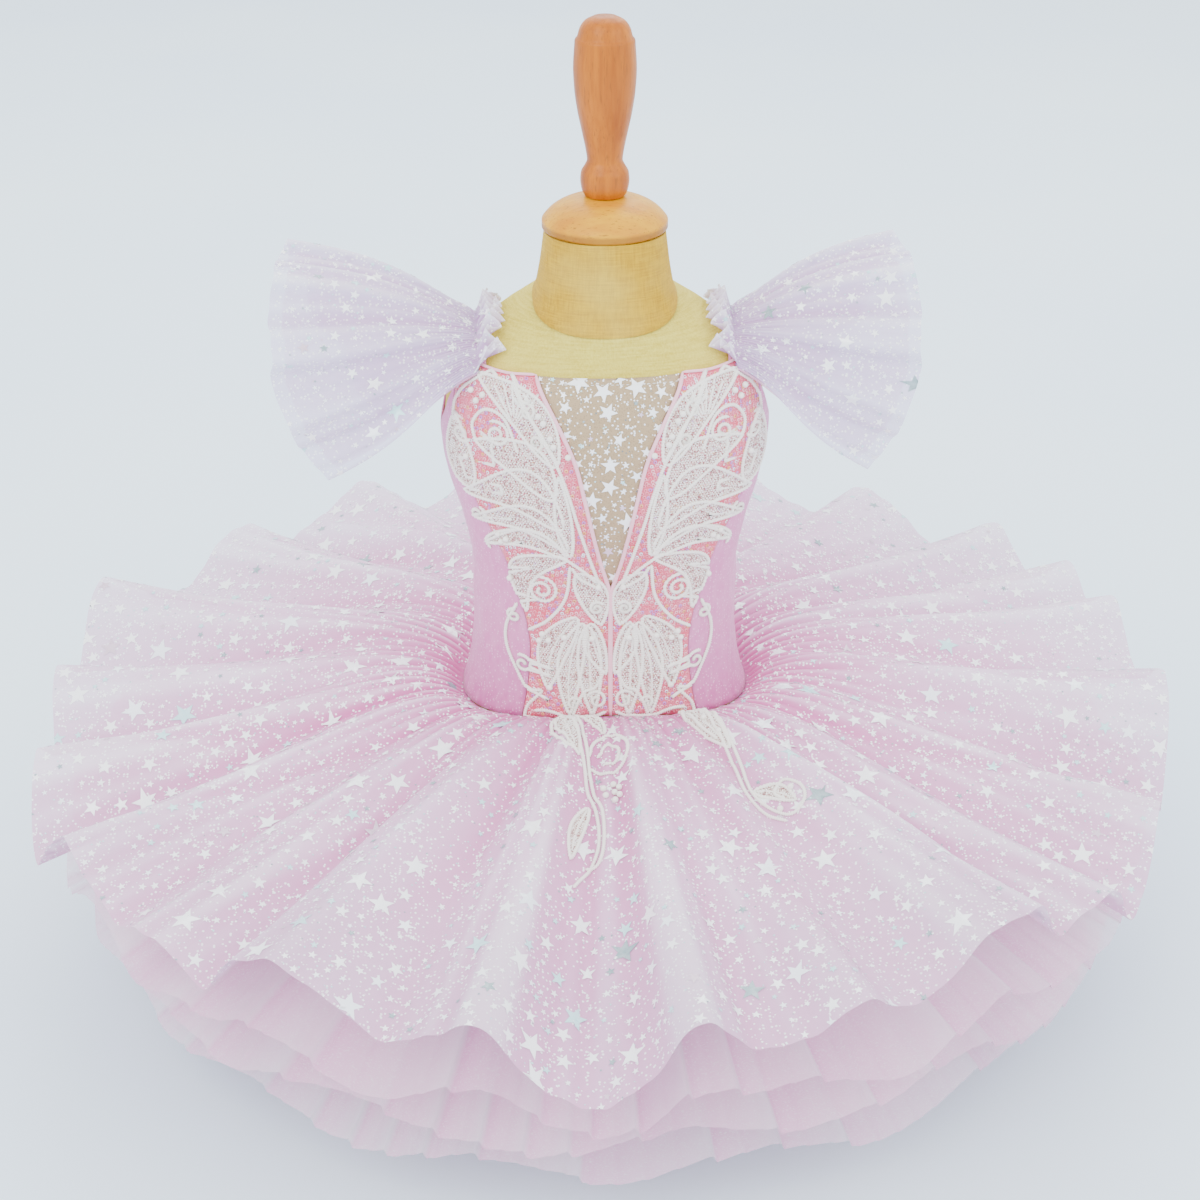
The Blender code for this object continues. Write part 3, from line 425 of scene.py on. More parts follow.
def read(table, column, at):
    """A column's value at any places of the first column, on a smooth curve with no overshoot."""
    places, values = next(iter(table.values())), table[column]
    steps = np.diff(places)
    rises = np.diff(values) / steps
    slopes = np.concatenate((rises[:1], np.zeros(len(rises) - 1), rises[-1:]))
    before, after = rises[:-1], rises[1:]
    rising = before * after > 0
    slopes[1:-1] = np.where(rising, 2 * before * after / np.where(rising, before + after, 1.0), 0.0)
    at = np.clip(at, places[0], places[-1])
    low = np.clip(np.searchsorted(places, at, side="right") - 1, 0, len(places) - 2)
    f = (at - places[low]) / steps[low]
    start, end = slopes[low] * steps[low], slopes[low + 1] * steps[low]
    rise = values[low + 1] - values[low]
    return values[low] + f * (start + f * (3 * rise - 2 * start - end + f * (start + end - 2 * rise)))


def stack(x, y, z):
    """Points from their three coordinates."""
    return np.stack(np.broadcast_arrays(x, y, z), axis=-1).astype(float)


def unit(vectors):
    """Vectors at length one."""
    return vectors / np.maximum(np.linalg.norm(vectors, axis=-1, keepdims=True), 1e-12)


def lean(z):
    """Share of the neck's lean that a section at this height has."""
    f = np.clip((z - LEAN_START) / (NECK_SEAM - LEAN_START), 0, 1)
    return NECK_LEAN * f * f * (3 - 2 * f)


def ring_point(half_width, half_depth, azimuth, z, tilt):
    """Point of an oval section with flattened sides, tilted about the X axis."""
    a = np.radians(azimuth)
    across = (np.abs(np.sin(a)) / half_width) ** BODY_SQUARENESS
    along = (np.abs(np.cos(a)) / half_depth) ** BODY_SQUARENESS
    radius = (across + along) ** (-1 / BODY_SQUARENESS)
    y = -radius * np.cos(a)
    return stack(radius * np.sin(a), y, z + tilt * y)


def skin(z, azimuth):
    """Point on the torso at a section height and an azimuth."""
    return ring_point(read(BODY, "half_width", z), read(BODY, "half_depth", z), azimuth, z, lean(z))


def body_point(z, azimuth, out=0.0):
    """Point on the torso, moved out of it by a distance."""
    across = skin(z, azimuth + 0.5) - skin(z, azimuth - 0.5)
    up = skin(z + 0.001, azimuth) - skin(z - 0.001, azimuth)
    return skin(z, azimuth) + out * unit(np.cross(across, up))


def shoulder_place(x, y):
    """Section height and azimuth of the torso's upper surface above a point of the plan."""
    low = np.full(np.shape(y), 0.380)
    high = np.full(np.shape(y), NECK_SEAM)
    for _ in range(30):
        z = (low + high) / 2
        across = (np.abs(x) / read(BODY, "half_width", z)) ** BODY_SQUARENESS
        along = (np.abs(y) / read(BODY, "half_depth", z)) ** BODY_SQUARENESS
        outside = across + along > 1
        high = np.where(outside, z, high)
        low = np.where(outside, low, z)
    return low, np.degrees(np.arctan2(x, -y))


def hip_seam(azimuth):
    """Height of the seam between bodice and skirt."""
    return HIP_SEAM + HIP_DIP * np.cos(np.radians(2 * azimuth))


def colour(red, green, blue):
    """Linear colour from a screen colour of 0 to 255."""
    shares = np.array((red, green, blue)) / 255
    linear = np.where(shares < 0.04045, shares / 12.92, ((shares + 0.055) / 1.055) ** 2.4)
    return tuple(float(value) for value in linear)


def add_node(tree, kind, inputs=None, **settings):
    """Node with its settings, and its inputs set or linked."""
    node = tree.nodes.new(kind)
    for key, value in settings.items():
        setattr(node, key, value)
    for socket, value in (inputs or {}).items():
        if isinstance(value, bpy.types.NodeSocket):
            tree.links.new(value, node.inputs[socket])
        else:
            node.inputs[socket].default_value = value
    return node


def mix(tree, share, first, second):
    """Mix of two colours by a share."""
    values = {0: share, 6: first, 7: second}
    for key in (6, 7):
        if isinstance(values[key], tuple):
            values[key] = (*values[key], 1.0)
    return add_node(tree, "ShaderNodeMix", values, data_type="RGBA").outputs[2]


def laid_over(tree, tone, share, strength, over):
    """A tone with another one over it where a share says, at a strength."""
    return mix(tree, math_node(tree, "MULTIPLY", share, strength), tone, over)


def scaled(tree, stretch):
    """Object coordinates stretched along each axis."""
    place = add_node(tree, "ShaderNodeTexCoord").outputs["Object"]
    return add_node(tree, "ShaderNodeMapping", {"Vector": place, "Scale": stretch}).outputs["Vector"]


def noise(tree, stretch, detail=3.0, roughness=0.5, low=0.35, high=0.65):
    """Noise in metres, from 0 to 1 between two of its levels."""
    made = add_node(tree, "ShaderNodeTexNoise", {"Vector": scaled(tree, stretch), "Scale": 1.0,
                                                 "Detail": detail, "Roughness": roughness})
    return level(tree, made.outputs["Fac"], low, high)


def level(tree, value, low, high, bottom=0.0, top=1.0):
    """A value taken from one range to another, and held inside it."""
    node = add_node(tree, "ShaderNodeMapRange", {"Value": value, "From Min": low, "From Max": high,
                                                 "To Min": bottom, "To Max": top})
    return node.outputs["Result"]


def math_node(tree, operation, first, second):
    """Sum, product or the like of two values."""
    return add_node(tree, "ShaderNodeMath", {0: first, 1: second}, operation=operation).outputs["Value"]


def attribute(tree, name):
    """Value that the mesh holds at each point."""
    return add_node(tree, "ShaderNodeAttribute", attribute_name=name)


def bump(tree, shader, height, strength, distance):
    """Fine relief on a material."""
    made = add_node(tree, "ShaderNodeBump", {"Height": height, "Strength": strength, "Distance": distance})
    tree.links.new(made.outputs["Normal"], shader.inputs["Normal"])


def material(name, base, roughness, **sockets):
    """Principled material, its tree and its shader; sockets are the values that are the same all over."""
    made = bpy.data.materials.new(name)
    made.use_nodes = True
    shader = made.node_tree.nodes["Principled BSDF"]
    shader.inputs["Base Color"].default_value = (*base, 1.0)
    shader.inputs["Roughness"].default_value = roughness
    for socket, value in sockets.items():
        shader.inputs[socket.replace("_", " ").title()].default_value = value
    return made, made.node_tree, shader


def sparkle(tree, cell, size, share):
    """Mask of round specks, one in some of the cells of a space cut into cells."""
    place = add_node(tree, "ShaderNodeTexCoord").outputs["Object"]
    cells = add_node(tree, "ShaderNodeTexVoronoi", {"Vector": place, "Scale": 1 / cell})
    near = math_node(tree, "LESS_THAN", cells.outputs["Distance"], size)
    pick = add_node(tree, "ShaderNodeSeparateColor", {"Color": cells.outputs["Color"]}).outputs["Red"]
    return math_node(tree, "MULTIPLY", near, math_node(tree, "LESS_THAN", pick, share))


def make_tulle(name, pale, deep, clear, glitter):
    """Sheer tulle: deeper in colour where the mesh holds painted shade and denser cloth, whiter where it
    holds a painted highlight, with specks of glitter.
    """
    pale, deep = colour(*pale), colour(*deep)
    made, tree, shader = material(name, pale, 0.6, sheen_weight=0.08, sheen_roughness=0.5)
    # Deep tone: painted shade, and denser cloth near the gathers
    cloth = mix(tree, attribute(tree, "depth").outputs["Fac"], pale, deep)
    # Near-white painted highlight on ridges and edges
    cloth = mix(tree, attribute(tree, "ridge_highlight").outputs["Fac"], cloth, colour(252, 248, 253))
    if glitter:
        specks = sparkle(tree, 0.0023, 0.33, glitter)
    else:
        specks = math_node(tree, "MULTIPLY", noise(tree, (700, 700, 2600), 1, 0.5, 0.55, 0.72), 0.45)
    cloth = mix(tree, specks, cloth, colour(255, 255, 255))
    tree.links.new(cloth, shader.inputs["Base Color"])
    thin = attribute(tree, "sheer").outputs["Fac"]
    tree.links.new(level(tree, thin, 0, 1, clear[0], clear[1]), shader.inputs["Alpha"])
    return made


def make_linen(name, pale, dark):
    """Plain-weave linen with slubs both ways."""
    pale, dark = colour(*pale), colour(*dark)
    made, tree, shader = material(name, pale, 0.9)
    warp = noise(tree, (900, 900, 45), 3, 0.6)
    weft = noise(tree, (60, 60, 1100), 3, 0.6)
    weave = math_node(tree, "MULTIPLY", math_node(tree, "ADD", warp, weft), 0.5)
    tone = mix(tree, weave, dark, pale)
    wide = noise(tree, (22, 22, 22), 3, 0.5)
    tone = laid_over(tree, tone, wide, 0.25, colour(226, 208, 110))
    tree.links.new(tone, shader.inputs["Base Color"])
    bump(tree, shader, weave, 0.55, 0.0006)
    return made


def make_wood(name, pale, dark, along):
    """Turned and varnished wood, its grain drawn out along one direction."""
    pale, dark = colour(*pale), colour(*dark)
    made, tree, shader = material(name, pale, 0.42, coat_weight=0.04, coat_roughness=0.25)
    shader.inputs["Specular IOR Level"].default_value = 0.25
    broad = noise(tree, tuple(v * 70 for v in along), 4, 0.55, 0.3, 0.7)
    fine = noise(tree, tuple(v * 430 for v in along), 3, 0.6, 0.42, 0.72)
    pores = noise(tree, tuple(v * 900 for v in along), 2, 0.5, 0.60, 0.70)
    tone = mix(tree, broad, pale, dark)
    tone = laid_over(tree, tone, fine, 0.45, dark)
    tone = laid_over(tree, tone, pores, 0.55, colour(120, 66, 16))
    shade = attribute(tree, "depth").outputs["Fac"]
    tone = laid_over(tree, tone, shade, 0.6, colour(116, 64, 12))
    tree.links.new(tone, shader.inputs["Base Color"])
    tree.links.new(level(tree, fine, 0, 1, 0.38, 0.52), shader.inputs["Roughness"])
    bump(tree, shader, fine, 0.12, 0.0004)
    return made


def make_jersey(name, pale, deep, speck):
    """Stretch cloth with a soft sheen, fine ribs and tiny shining specks, deeper in colour where the mesh
    holds painted shade.
    """
    pale, deep, speck = colour(*pale), colour(*deep), colour(*speck)
    made, tree, shader = material(name, pale, 0.55, sheen_weight=0.22, sheen_roughness=0.35)
    tone = mix(tree, attribute(tree, "depth").outputs["Fac"], pale, deep)
    mottle = noise(tree, (160, 160, 90), 4, 0.65)
    tone = laid_over(tree, tone, mottle, 0.30, colour(234, 172, 206))
    specks = sparkle(tree, 0.0019, 0.30, 0.5)
    tone = laid_over(tree, tone, specks, 0.6, speck)
    tree.links.new(tone, shader.inputs["Base Color"])
    tree.links.new(level(tree, specks, 0, 1, 0.55, 0.3), shader.inputs["Roughness"])
    ribs = noise(tree, (1500, 1500, 260), 2, 0.5)
    bump(tree, shader, ribs, 0.3, 0.0003)
    return made


def make_mesh_cloth():
    """Nude net of the insert, dense with silver glitter."""
    pale = colour(172, 146, 110)
    made, tree, shader = material("star_mesh", pale, 0.6, sheen_weight=0.2)
    net = sparkle(tree, 0.0011, 0.34, 1.0)
    tone = laid_over(tree, pale, net, 0.5, colour(134, 108, 78))
    specks = sparkle(tree, 0.0021, 0.30, 0.30)
    tone = mix(tree, specks, tone, colour(246, 248, 250))
    dark = sparkle(tree, 0.0023, 0.25, 0.12)
    tone = mix(tree, dark, tone, colour(110, 118, 120))
    tree.links.new(tone, shader.inputs["Base Color"])
    tree.links.new(level(tree, specks, 0, 1, 0.6, 0.22), shader.inputs["Roughness"])
    bump(tree, shader, net, 0.3, 0.0003)
    return made


def make_painted(name, roughness, metallic, grain, **sockets):
    """Foil, sequin, bead or thread whose colour the mesh holds at each point."""
    made, tree, shader = material(name, (0.9, 0.9, 0.9), roughness, metallic=metallic, **sockets)
    tone = attribute(tree, "tone").outputs["Color"]
    patchy = noise(tree, (grain, grain, grain), 3, 0.6)
    tone = laid_over(tree, tone, patchy, 0.16, colour(255, 255, 255))
    tree.links.new(tone, shader.inputs["Base Color"])
    bump(tree, shader, noise(tree, (grain * 2, grain * 2, grain * 2), 2), 0.2, 0.0002)
    return made


def make_net(name):
    """Ivory net of the lace, darker in its holes, where the sequins show through."""
    pale = colour(230, 212, 202)
    made, tree, shader = material(name, pale, 0.7, sheen_weight=0.2)
    place = add_node(tree, "ShaderNodeTexCoord").outputs["Object"]
    inputs = {"Vector": place, "Scale": NET_CELLS}
    cells = add_node(tree, "ShaderNodeTexVoronoi", inputs, feature="DISTANCE_TO_EDGE")
    thread = level(tree, cells.outputs["Distance"], 0.08, 0.20, 1.0, 0.0)
    tree.links.new(mix(tree, thread, colour(150, 84, 84), pale), shader.inputs["Base Color"])
    return made


def make_floor():
    """Pale, faintly blue paper."""
    first, second = (colour(*tone) for tone in PAPER_TONES)
    made, tree, shader = material("pale_paper", first, 0.9)
    soft = noise(tree, (1.3, 1.3, 1.3), 2)
    tree.links.new(mix(tree, soft, first, second), shader.inputs["Base Color"])
    return made


def add_mesh(name, points, faces, finish, values=None):
    """Mesh piece from points and faces; values are what it holds at each point."""
    mesh = bpy.data.meshes.new(name)
    points = np.asarray(points, dtype=float).reshape(-1, 3)
    mesh.from_pydata(points.tolist(), [], faces.tolist() if isinstance(faces, np.ndarray) else faces)
    mesh.shade_smooth()
    mesh.materials.append(finish)
    for key, held in (values or {}).items():
        held = np.asarray(held, dtype=np.float32)
        if key == "tone":
            layer = mesh.attributes.new(key, "FLOAT_COLOR", "POINT")
            full = np.ones((len(points), 4), dtype=np.float32)
            full[:, :3] = held.reshape(-1, 3)
            layer.data.foreach_set("color", full.ravel())
        else:
            layer = mesh.attributes.new(key, "FLOAT", "POINT")
            flat = held.ravel() if held.ndim else held
            layer.data.foreach_set("value", np.broadcast_to(flat, len(points)).copy())
    piece = bpy.data.objects.new(name, mesh)
    bpy.context.scene.collection.objects.link(piece)
    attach(piece, "root")
    return piece


def grid_faces(height, width, closed=False, turned=False):
    """Quads over a grid of points, facing along next column cross next row."""
    i = np.arange(width if closed else width - 1)
    j = np.arange(height - 1)[:, None]
    a, b = j * width + i, j * width + (i + 1) % width
    faces = np.stack((a, b, b + width, a + width), axis=-1).reshape(-1, 4)
    return faces[:, ::-1] if turned else faces


class Surface:
    """A cloth's grid of points, with the way out of it, to set small things on."""

    def __init__(self, points, closed=False, turned=False):
        self.points, self.closed, self.turned = points, closed, turned
        if closed:
            across = np.roll(points, -1, axis=1) - np.roll(points, 1, axis=1)
        else:
            across = np.gradient(points, axis=1)
        along = np.gradient(points, axis=0)
        self.normals = unit(np.cross(across, along)) * (-1 if turned else 1)

    def ridges(self, spread, height):
        """Share of ridge at each point: how far it stands above its neighbours along the row."""
        z = self.points[..., 2]
        near = sum(np.roll(z, k, axis=1) for k in range(-spread, spread + 1)) / (2 * spread + 1)
        return np.clip((z - near) / height, -1, 1)

    def faces(self):
        """Quads of the whole grid."""
        return grid_faces(*self.points.shape[:2], self.closed, self.turned)

    def moved(self, out):
        """The same cloth moved out by a distance."""
        return Surface(self.points + out * self.normals, self.closed, self.turned)

    def at(self, i, j, lift=0.0):
        """Points at any column and row, lifted off the cloth."""
        height, width = self.points.shape[:2]
        j = np.clip(j, 0, height - 1.001)
        i = i % width if self.closed else np.clip(i, 0, width - 1.001)
        low, left = j.astype(int), i.astype(int)
        right = (left + 1) % width
        f, g = (i - left)[..., None], (j - low)[..., None]

        def blend(grid):
            bottom = grid[low, left] * (1 - f) + grid[low, right] * f
            top = grid[low + 1, left] * (1 - f) + grid[low + 1, right] * f
            return bottom * (1 - g) + top * g

        return blend(self.points) + np.asarray(lift)[..., None] * blend(self.normals)

    def areas(self):
        """Area of each cell."""
        grid = np.concatenate((self.points, self.points[:, :1]), axis=1) if self.closed else self.points
        across, along = np.diff(grid, axis=1)[:-1], np.diff(grid, axis=0)[:, :-1]
        return np.linalg.norm(np.cross(across, along), axis=-1)

    def scatter(self, count, draw):
        """Random columns and rows, as dense everywhere."""
        areas = self.areas()
        picked = draw.choice(areas.size, count, p=areas.ravel() / areas.sum())
        j, i = np.unravel_index(picked, areas.shape)
        return i + draw.random(count), j + draw.random(count)

    def stick(self, i, j, turns, sizes, outline, lift):
        """Copies of a flat outline laid on the cloth, one for each place, that follow its form."""
        i, j = np.asarray(i, dtype=float), np.asarray(j, dtype=float)
        across = self.at(i + 0.5, j) - self.at(i - 0.5, j)
        along = self.at(i, j + 0.5) - self.at(i, j - 0.5)
        out = unit(np.cross(across, along))
        first = unit(across)
        second = np.cross(out, first)
        c, s = np.cos(turns)[:, None], np.sin(turns)[:, None]
        a = (outline[:, 0] * c - outline[:, 1] * s) * sizes[:, None]
        b = (outline[:, 0] * s + outline[:, 1] * c) * sizes[:, None]
        step = a[..., None] * first[:, None] + b[..., None] * second[:, None]
        aa, bb = (across * across).sum(-1)[:, None], (along * along).sum(-1)[:, None]
        ab = (across * along).sum(-1)[:, None]
        da, db = (step * across[:, None]).sum(-1), (step * along[:, None]).sum(-1)
        whole = np.maximum(aa * bb - ab * ab, 1e-18)
        move_i, move_j = (da * bb - db * ab) / whole, (db * aa - da * ab) / whole
        return self.at(i[:, None] + move_i, j[:, None] + move_j, np.broadcast_to(lift, a.shape))


def repeat_faces(faces, count, size):
    """The faces of one small shape, for each of its copies."""
    faces = np.asarray(faces)
    return (faces[None] + size * np.arange(count)[:, None, None]).reshape(-1, faces.shape[1])


def star_outline(rings):
    """Five-pointed star: its middle, then rings of ten points from inside to the edge, and its faces."""
    turns = np.radians(90 + 36 * np.arange(10))
    reach = np.where(np.arange(10) % 2 == 0, 1.0, STAR_WAIST)
    edge = np.stack((np.cos(turns) * reach, np.sin(turns) * reach), axis=-1)
    points, faces = [np.zeros((1, 2))], []
    for k in range(1, rings + 1):
        points.append(edge * k / rings)
    for k in range(10):
        faces.append((0, 1 + k, 1 + (k + 1) % 10))
    for ring in range(1, rings):
        a = 1 + (ring - 1) * 10
        for k in range(10):
            faces.append((a + k, a + 10 + k, a + 10 + (k + 1) % 10))
            faces.append((a + k, a + 10 + (k + 1) % 10, a + (k + 1) % 10))
    return np.concatenate(points), np.array(faces)


def draw_tones(kinds, count, draw):
    """Colours drawn at random from a table of tones with their shares."""
    tones = np.array([colour(*tone) for tone, _ in kinds])
    return tones[draw.choice(len(kinds), count, p=[share for _, share in kinds])]


def spread_stars(surface, counts, draw):
    """Places and sizes of stars, the large ones first and none on another."""
    kept, radii, places = np.zeros((0, 3)), np.zeros(0), []
    for count, low, high in counts:
        i, j = surface.scatter(count * 5, draw)
        centres = surface.at(i, j)
        sizes = draw.uniform(low, high, len(i))
        taken = 0
        for k in range(len(i)):
            away = np.linalg.norm(kept - centres[k], axis=1) if len(kept) else np.ones(1)
            if len(kept) and (away < 0.85 * (radii + sizes[k]) + 0.0015).any():
                continue
            kept, radii = np.vstack((kept, centres[k])), np.append(radii, sizes[k])
            places.append((i[k], j[k], sizes[k]))
            taken += 1
            if taken == count:
                break
    return np.array(places).T


def foil_stars(name, surface, counts, dots, seed, finish):
    """Foil stars and dots of glitter laid on a cloth, as one piece."""
    draw = np.random.default_rng(seed)
    i, j, sizes = spread_stars(surface, counts, draw)
    turns = draw.uniform(0, 2 * math.pi, len(i))
    large = sizes > LARGE_STAR
    points, faces, tones, start = [], [], [], 0
    for mask, rings in ((large, 2), (~large, 1)):
        outline, pattern = star_outline(rings)
        laid = surface.stick(i[mask], j[mask], turns[mask], sizes[mask], outline, STAR_LIFT)
        points.append(laid.reshape(-1, 3))
        faces.append(repeat_faces(pattern, mask.sum(), len(outline)) + start)
        tones.append(np.repeat(draw_tones(FOIL_TONES, mask.sum(), draw), len(outline), axis=0))
        start += laid.shape[0] * laid.shape[1]
    i, j = surface.scatter(dots, draw)
    turns = draw.uniform(0, 2 * math.pi, dots)
    sizes = draw.uniform(*DOT_SIZES, dots)
    laid = surface.stick(i, j, turns, sizes, DOT_OUTLINE, DOT_LIFT)
    points.append(laid.reshape(-1, 3))
    faces.append(repeat_faces(DOT_FACES, dots, len(DOT_OUTLINE)) + start)
    tones.append(np.repeat(draw_tones(FOIL_TONES, dots, draw), len(DOT_OUTLINE), axis=0))
    values = {"tone": np.concatenate(tones)}
    piece = add_mesh(name, np.concatenate(points), np.concatenate(faces), finish, values)
    return piece


def cloth_piece(name, points, faces, finish, values=None):
    """Cloth that stands for the solid of its name."""
    piece = add_mesh(name + "_cloth", points, faces, finish, values)
    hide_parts(name)
    return piece


def thicken(piece, thickness):
    """Wall from a sheet, on its outer side."""
    wall = piece.modifiers.new("Cloth", "SOLIDIFY")
    wall.thickness = thickness
    wall.offset = 1.0


def panel_places(side, first_seam, last_seam, top, across, up):
    """Section heights and azimuths between two seams, the hip seam and a top edge."""
    p = np.linspace(0, 1, across + 1)[None, :]
    f = np.linspace(0, 1, up + 1)[:, None]
    q = f * (1 + TOP_CROWDING * (1 - f)) + 0 * p
    z = HIP_SEAM + q * (TOP_EDGE - HIP_SEAM)
    for _ in range(8):
        azimuth = first_seam(z) + p * (last_seam(z) - first_seam(z))
        z = hip_seam(azimuth) + q * (top(azimuth) - hip_seam(azimuth))
    azimuth = first_seam(z) + p * (last_seam(z) - first_seam(z))
    if side == "left":
        return z, azimuth
    return z[:, ::-1], -azimuth[:, ::-1]


def seam_line(table, shift):
    """Azimuth of a seam at each height, set back a little to one side."""
    def azimuth(z):
        at = read(table, "azimuth", z)
        radius = np.linalg.norm(skin(z, at)[..., :2], axis=-1)
        return at + np.degrees(shift * SEAM_SETBACK / radius)
    return azimuth


def edge_line(table):
    """Height of a top edge at each azimuth."""
    def height(azimuth):
        return read(table, "z", azimuth)
    return height


def soft_creases(z, azimuth, lines):
    """Low ridges on the bodice, each from one height and azimuth to another, faded at its ends."""
    rise = np.zeros(np.broadcast(z, azimuth).shape)
    for row in table_rows(lines):
        f = (z - row["low_z"]) / (row["high_z"] - row["low_z"])
        middle = row["low_azimuth"] + np.clip(f, 0, 1) * (row["high_azimuth"] - row["low_azimuth"])
        away = np.radians(azimuth - middle) * CREASE_RADIUS
        ends = np.clip(f * CREASE_FADE, 0, 1) * np.clip((1 - f) * CREASE_FADE, 0, 1)
        rise = rise + row["height"] * ends * np.exp(-((away / row["width"]) ** 2))
    return rise


def build_panel(name, places, lines, finish, slot, thickness, flat, area):
    """One panel of the bodice as a thin wall on the form, and its surface."""
    z, azimuth = places
    out = FORM_GAP + (soft_creases(z, np.abs(azimuth), lines) if lines else 0 * z)
    points = body_point(z, azimuth, out[..., None])
    surface = Surface(points)
    # Painted shade near the hip seam
    low = np.clip(1 - (z - SHADE_FOOT) / SHADE_RISE, 0, 1)
    held = {"depth": 0.15 + 0.85 * low}
    piece = cloth_piece(name, points, surface.faces(), finish, held)
    thicken(piece, thickness)
    return surface.moved(thickness)


def build_bodice(finishes):
    """Front, side and back panels, insert and straps. Returns their outer surfaces."""
    found = {}
    sequins, stretch = finishes["sequin_cloth"], finishes["stretch_cloth"]
    for side in SIDES:
        seams = (seam_line(V_EDGE, 1), seam_line(SIDE_SEAM, -1), edge_line(FRONT_TOP))
        places = panel_places(side, *seams, *FRONT_GRID)
        found["front_" + side] = build_panel("panel_front_" + side, places, FRONT_CREASES, sequins,
                                             "sequin_cloth", CLOTH, *FRONT_FLAT)
        seams = (seam_line(SIDE_SEAM, 1), seam_line(BACK_SEAM, -1), edge_line(SIDE_TOP))
        places = panel_places(side, *seams, *SIDE_GRID)
        found["side_" + side] = build_panel("panel_side_" + side, places, SIDE_CREASES, stretch,
                                            "stretch_cloth", CLOTH, *SIDE_FLAT)
        found["strap_" + side] = build_strap(side, stretch)
    seams = (seam_line(BACK_SEAM, 1), lambda z: 180.0 + 0 * z, edge_line(BACK_TOP))
    z, azimuth = panel_places("left", *seams, *BACK_GRID)
    z = np.concatenate((z, z[:, -2::-1]), axis=1)
    azimuth = np.concatenate((azimuth, 360 - azimuth[:, -2::-1]), axis=1)
    found["back"] = build_panel("panel_back", (z, azimuth), BACK_CREASES, stretch, "stretch_cloth",
                                CLOTH, *BACK_FLAT)
    found["insert"] = build_insert(finishes["star_mesh"])
    return found


def build_insert(finish):
    """Net in the V between the front panels."""
    height, width = INSERT_GRID
    z = np.linspace(V_POINT + INSERT_FOOT, TOP_EDGE, height)[:, None]
    half = seam_line(V_EDGE, -1)(z)
    azimuth = half * np.linspace(-1, 1, width)[None, :]
    return build_panel("insert_front", (z + 0 * azimuth, azimuth), None, finish, "star_mesh",
                       INSERT_CLOTH, *INSERT_FLAT)


def build_strap(side, finish):
    """Band over the shoulder from the front panel's top edge to the back panel's."""
    width, length = STRAP_GRID
    x = np.linspace(STRAP_OUTER, STRAP_INNER, width)[:, None]
    ends = []
    for z in (STRAP_FRONT_Z, STRAP_BACK_Z):
        left_over = 1 - (x / read(BODY, "half_width", z)) ** BODY_SQUARENESS
        ends.append(read(BODY, "half_depth", z) * left_over ** (1 / BODY_SQUARENESS))
    y = -ends[0] + (ends[0] + ends[1]) * np.linspace(0, 1, length)[None, :]
    z, azimuth = shoulder_place(x + 0 * y, y)
    places = (z, azimuth) if side == "left" else (z[:, ::-1], -azimuth[:, ::-1])
    points = body_point(*places, FORM_GAP)
    surface = Surface(points)
    held = {"depth": 0.2}
    piece = cloth_piece("strap_" + side, points, surface.faces(), finish, held)
    thicken(piece, CLOTH)
    return surface.moved(CLOTH)


def around(column, azimuth):
    """A column of the fold table at any azimuth."""
    turns, values = FOLDS["azimuth"], FOLDS[column]
    ring = {"azimuth": np.concatenate((turns[-1:] - 360, turns, turns[:2] + 360)),
            column: np.concatenate((values[-1:], values, values[:2]))}
    return read(ring, column, (azimuth - turns[0]) % 360 + turns[0])


def skirt_grid(depth, azimuth, shares, hem_z, hem_radius, puff):
    """Points of a skirt layer: depth counts the layers down, shares run from the seam to the hem."""
    root_z = hip_seam(azimuth) - SEAM_GAP - TULLE / 2 - depth * ROOT_PITCH
    root = body_point(root_z, azimuth, FORM_GAP + ROOT_EASE)
    root_radius = np.hypot(root[:, 0], root[:, 1])
    t = shares[:, None]
    radius = root_radius + t * (hem_radius - root_radius)
    free = np.maximum(0, (t - FLAT_ROOT) / (1 - FLAT_ROOT))
    lift = puff * free / PUFF_PEAK * np.exp(1 - free / PUFF_PEAK)
    z = root_z + (hem_z - root_z) * free ** FOLD_GROWTH + lift
    a = np.radians(azimuth)
    return stack(radius * np.sin(a), -radius * np.cos(a), z)


def crease_heights(azimuth, shares):
    """Listed troughs and ridges of the star layer, and like ones turned round to its back."""
    rise = np.zeros((len(shares), len(azimuth)))
    t = shares[:, None]
    for turn, scale in ((0, 1.0), (BACK_TURN, BACK_SHARE)):
        for row in table_rows(CREASES):
            middle = row["waist"] + (row["hem"] - row["waist"]) * t + turn
            away = (azimuth[None, :] - middle + 180) % 360 - 180
            width = row["width"] * (1.6 - 0.6 * t)
            length = row["end"] - row["start"]
            ends = np.clip((t - row["start"]) / length * 5, 0, 1)
            ends = ends * np.clip((row["end"] - t) / length * 3 + 0.2, 0, 1)
            rise += scale * row["height"] * ends * (0.4 + 0.6 * t) * np.exp(-((away / width) ** 2))
    return rise


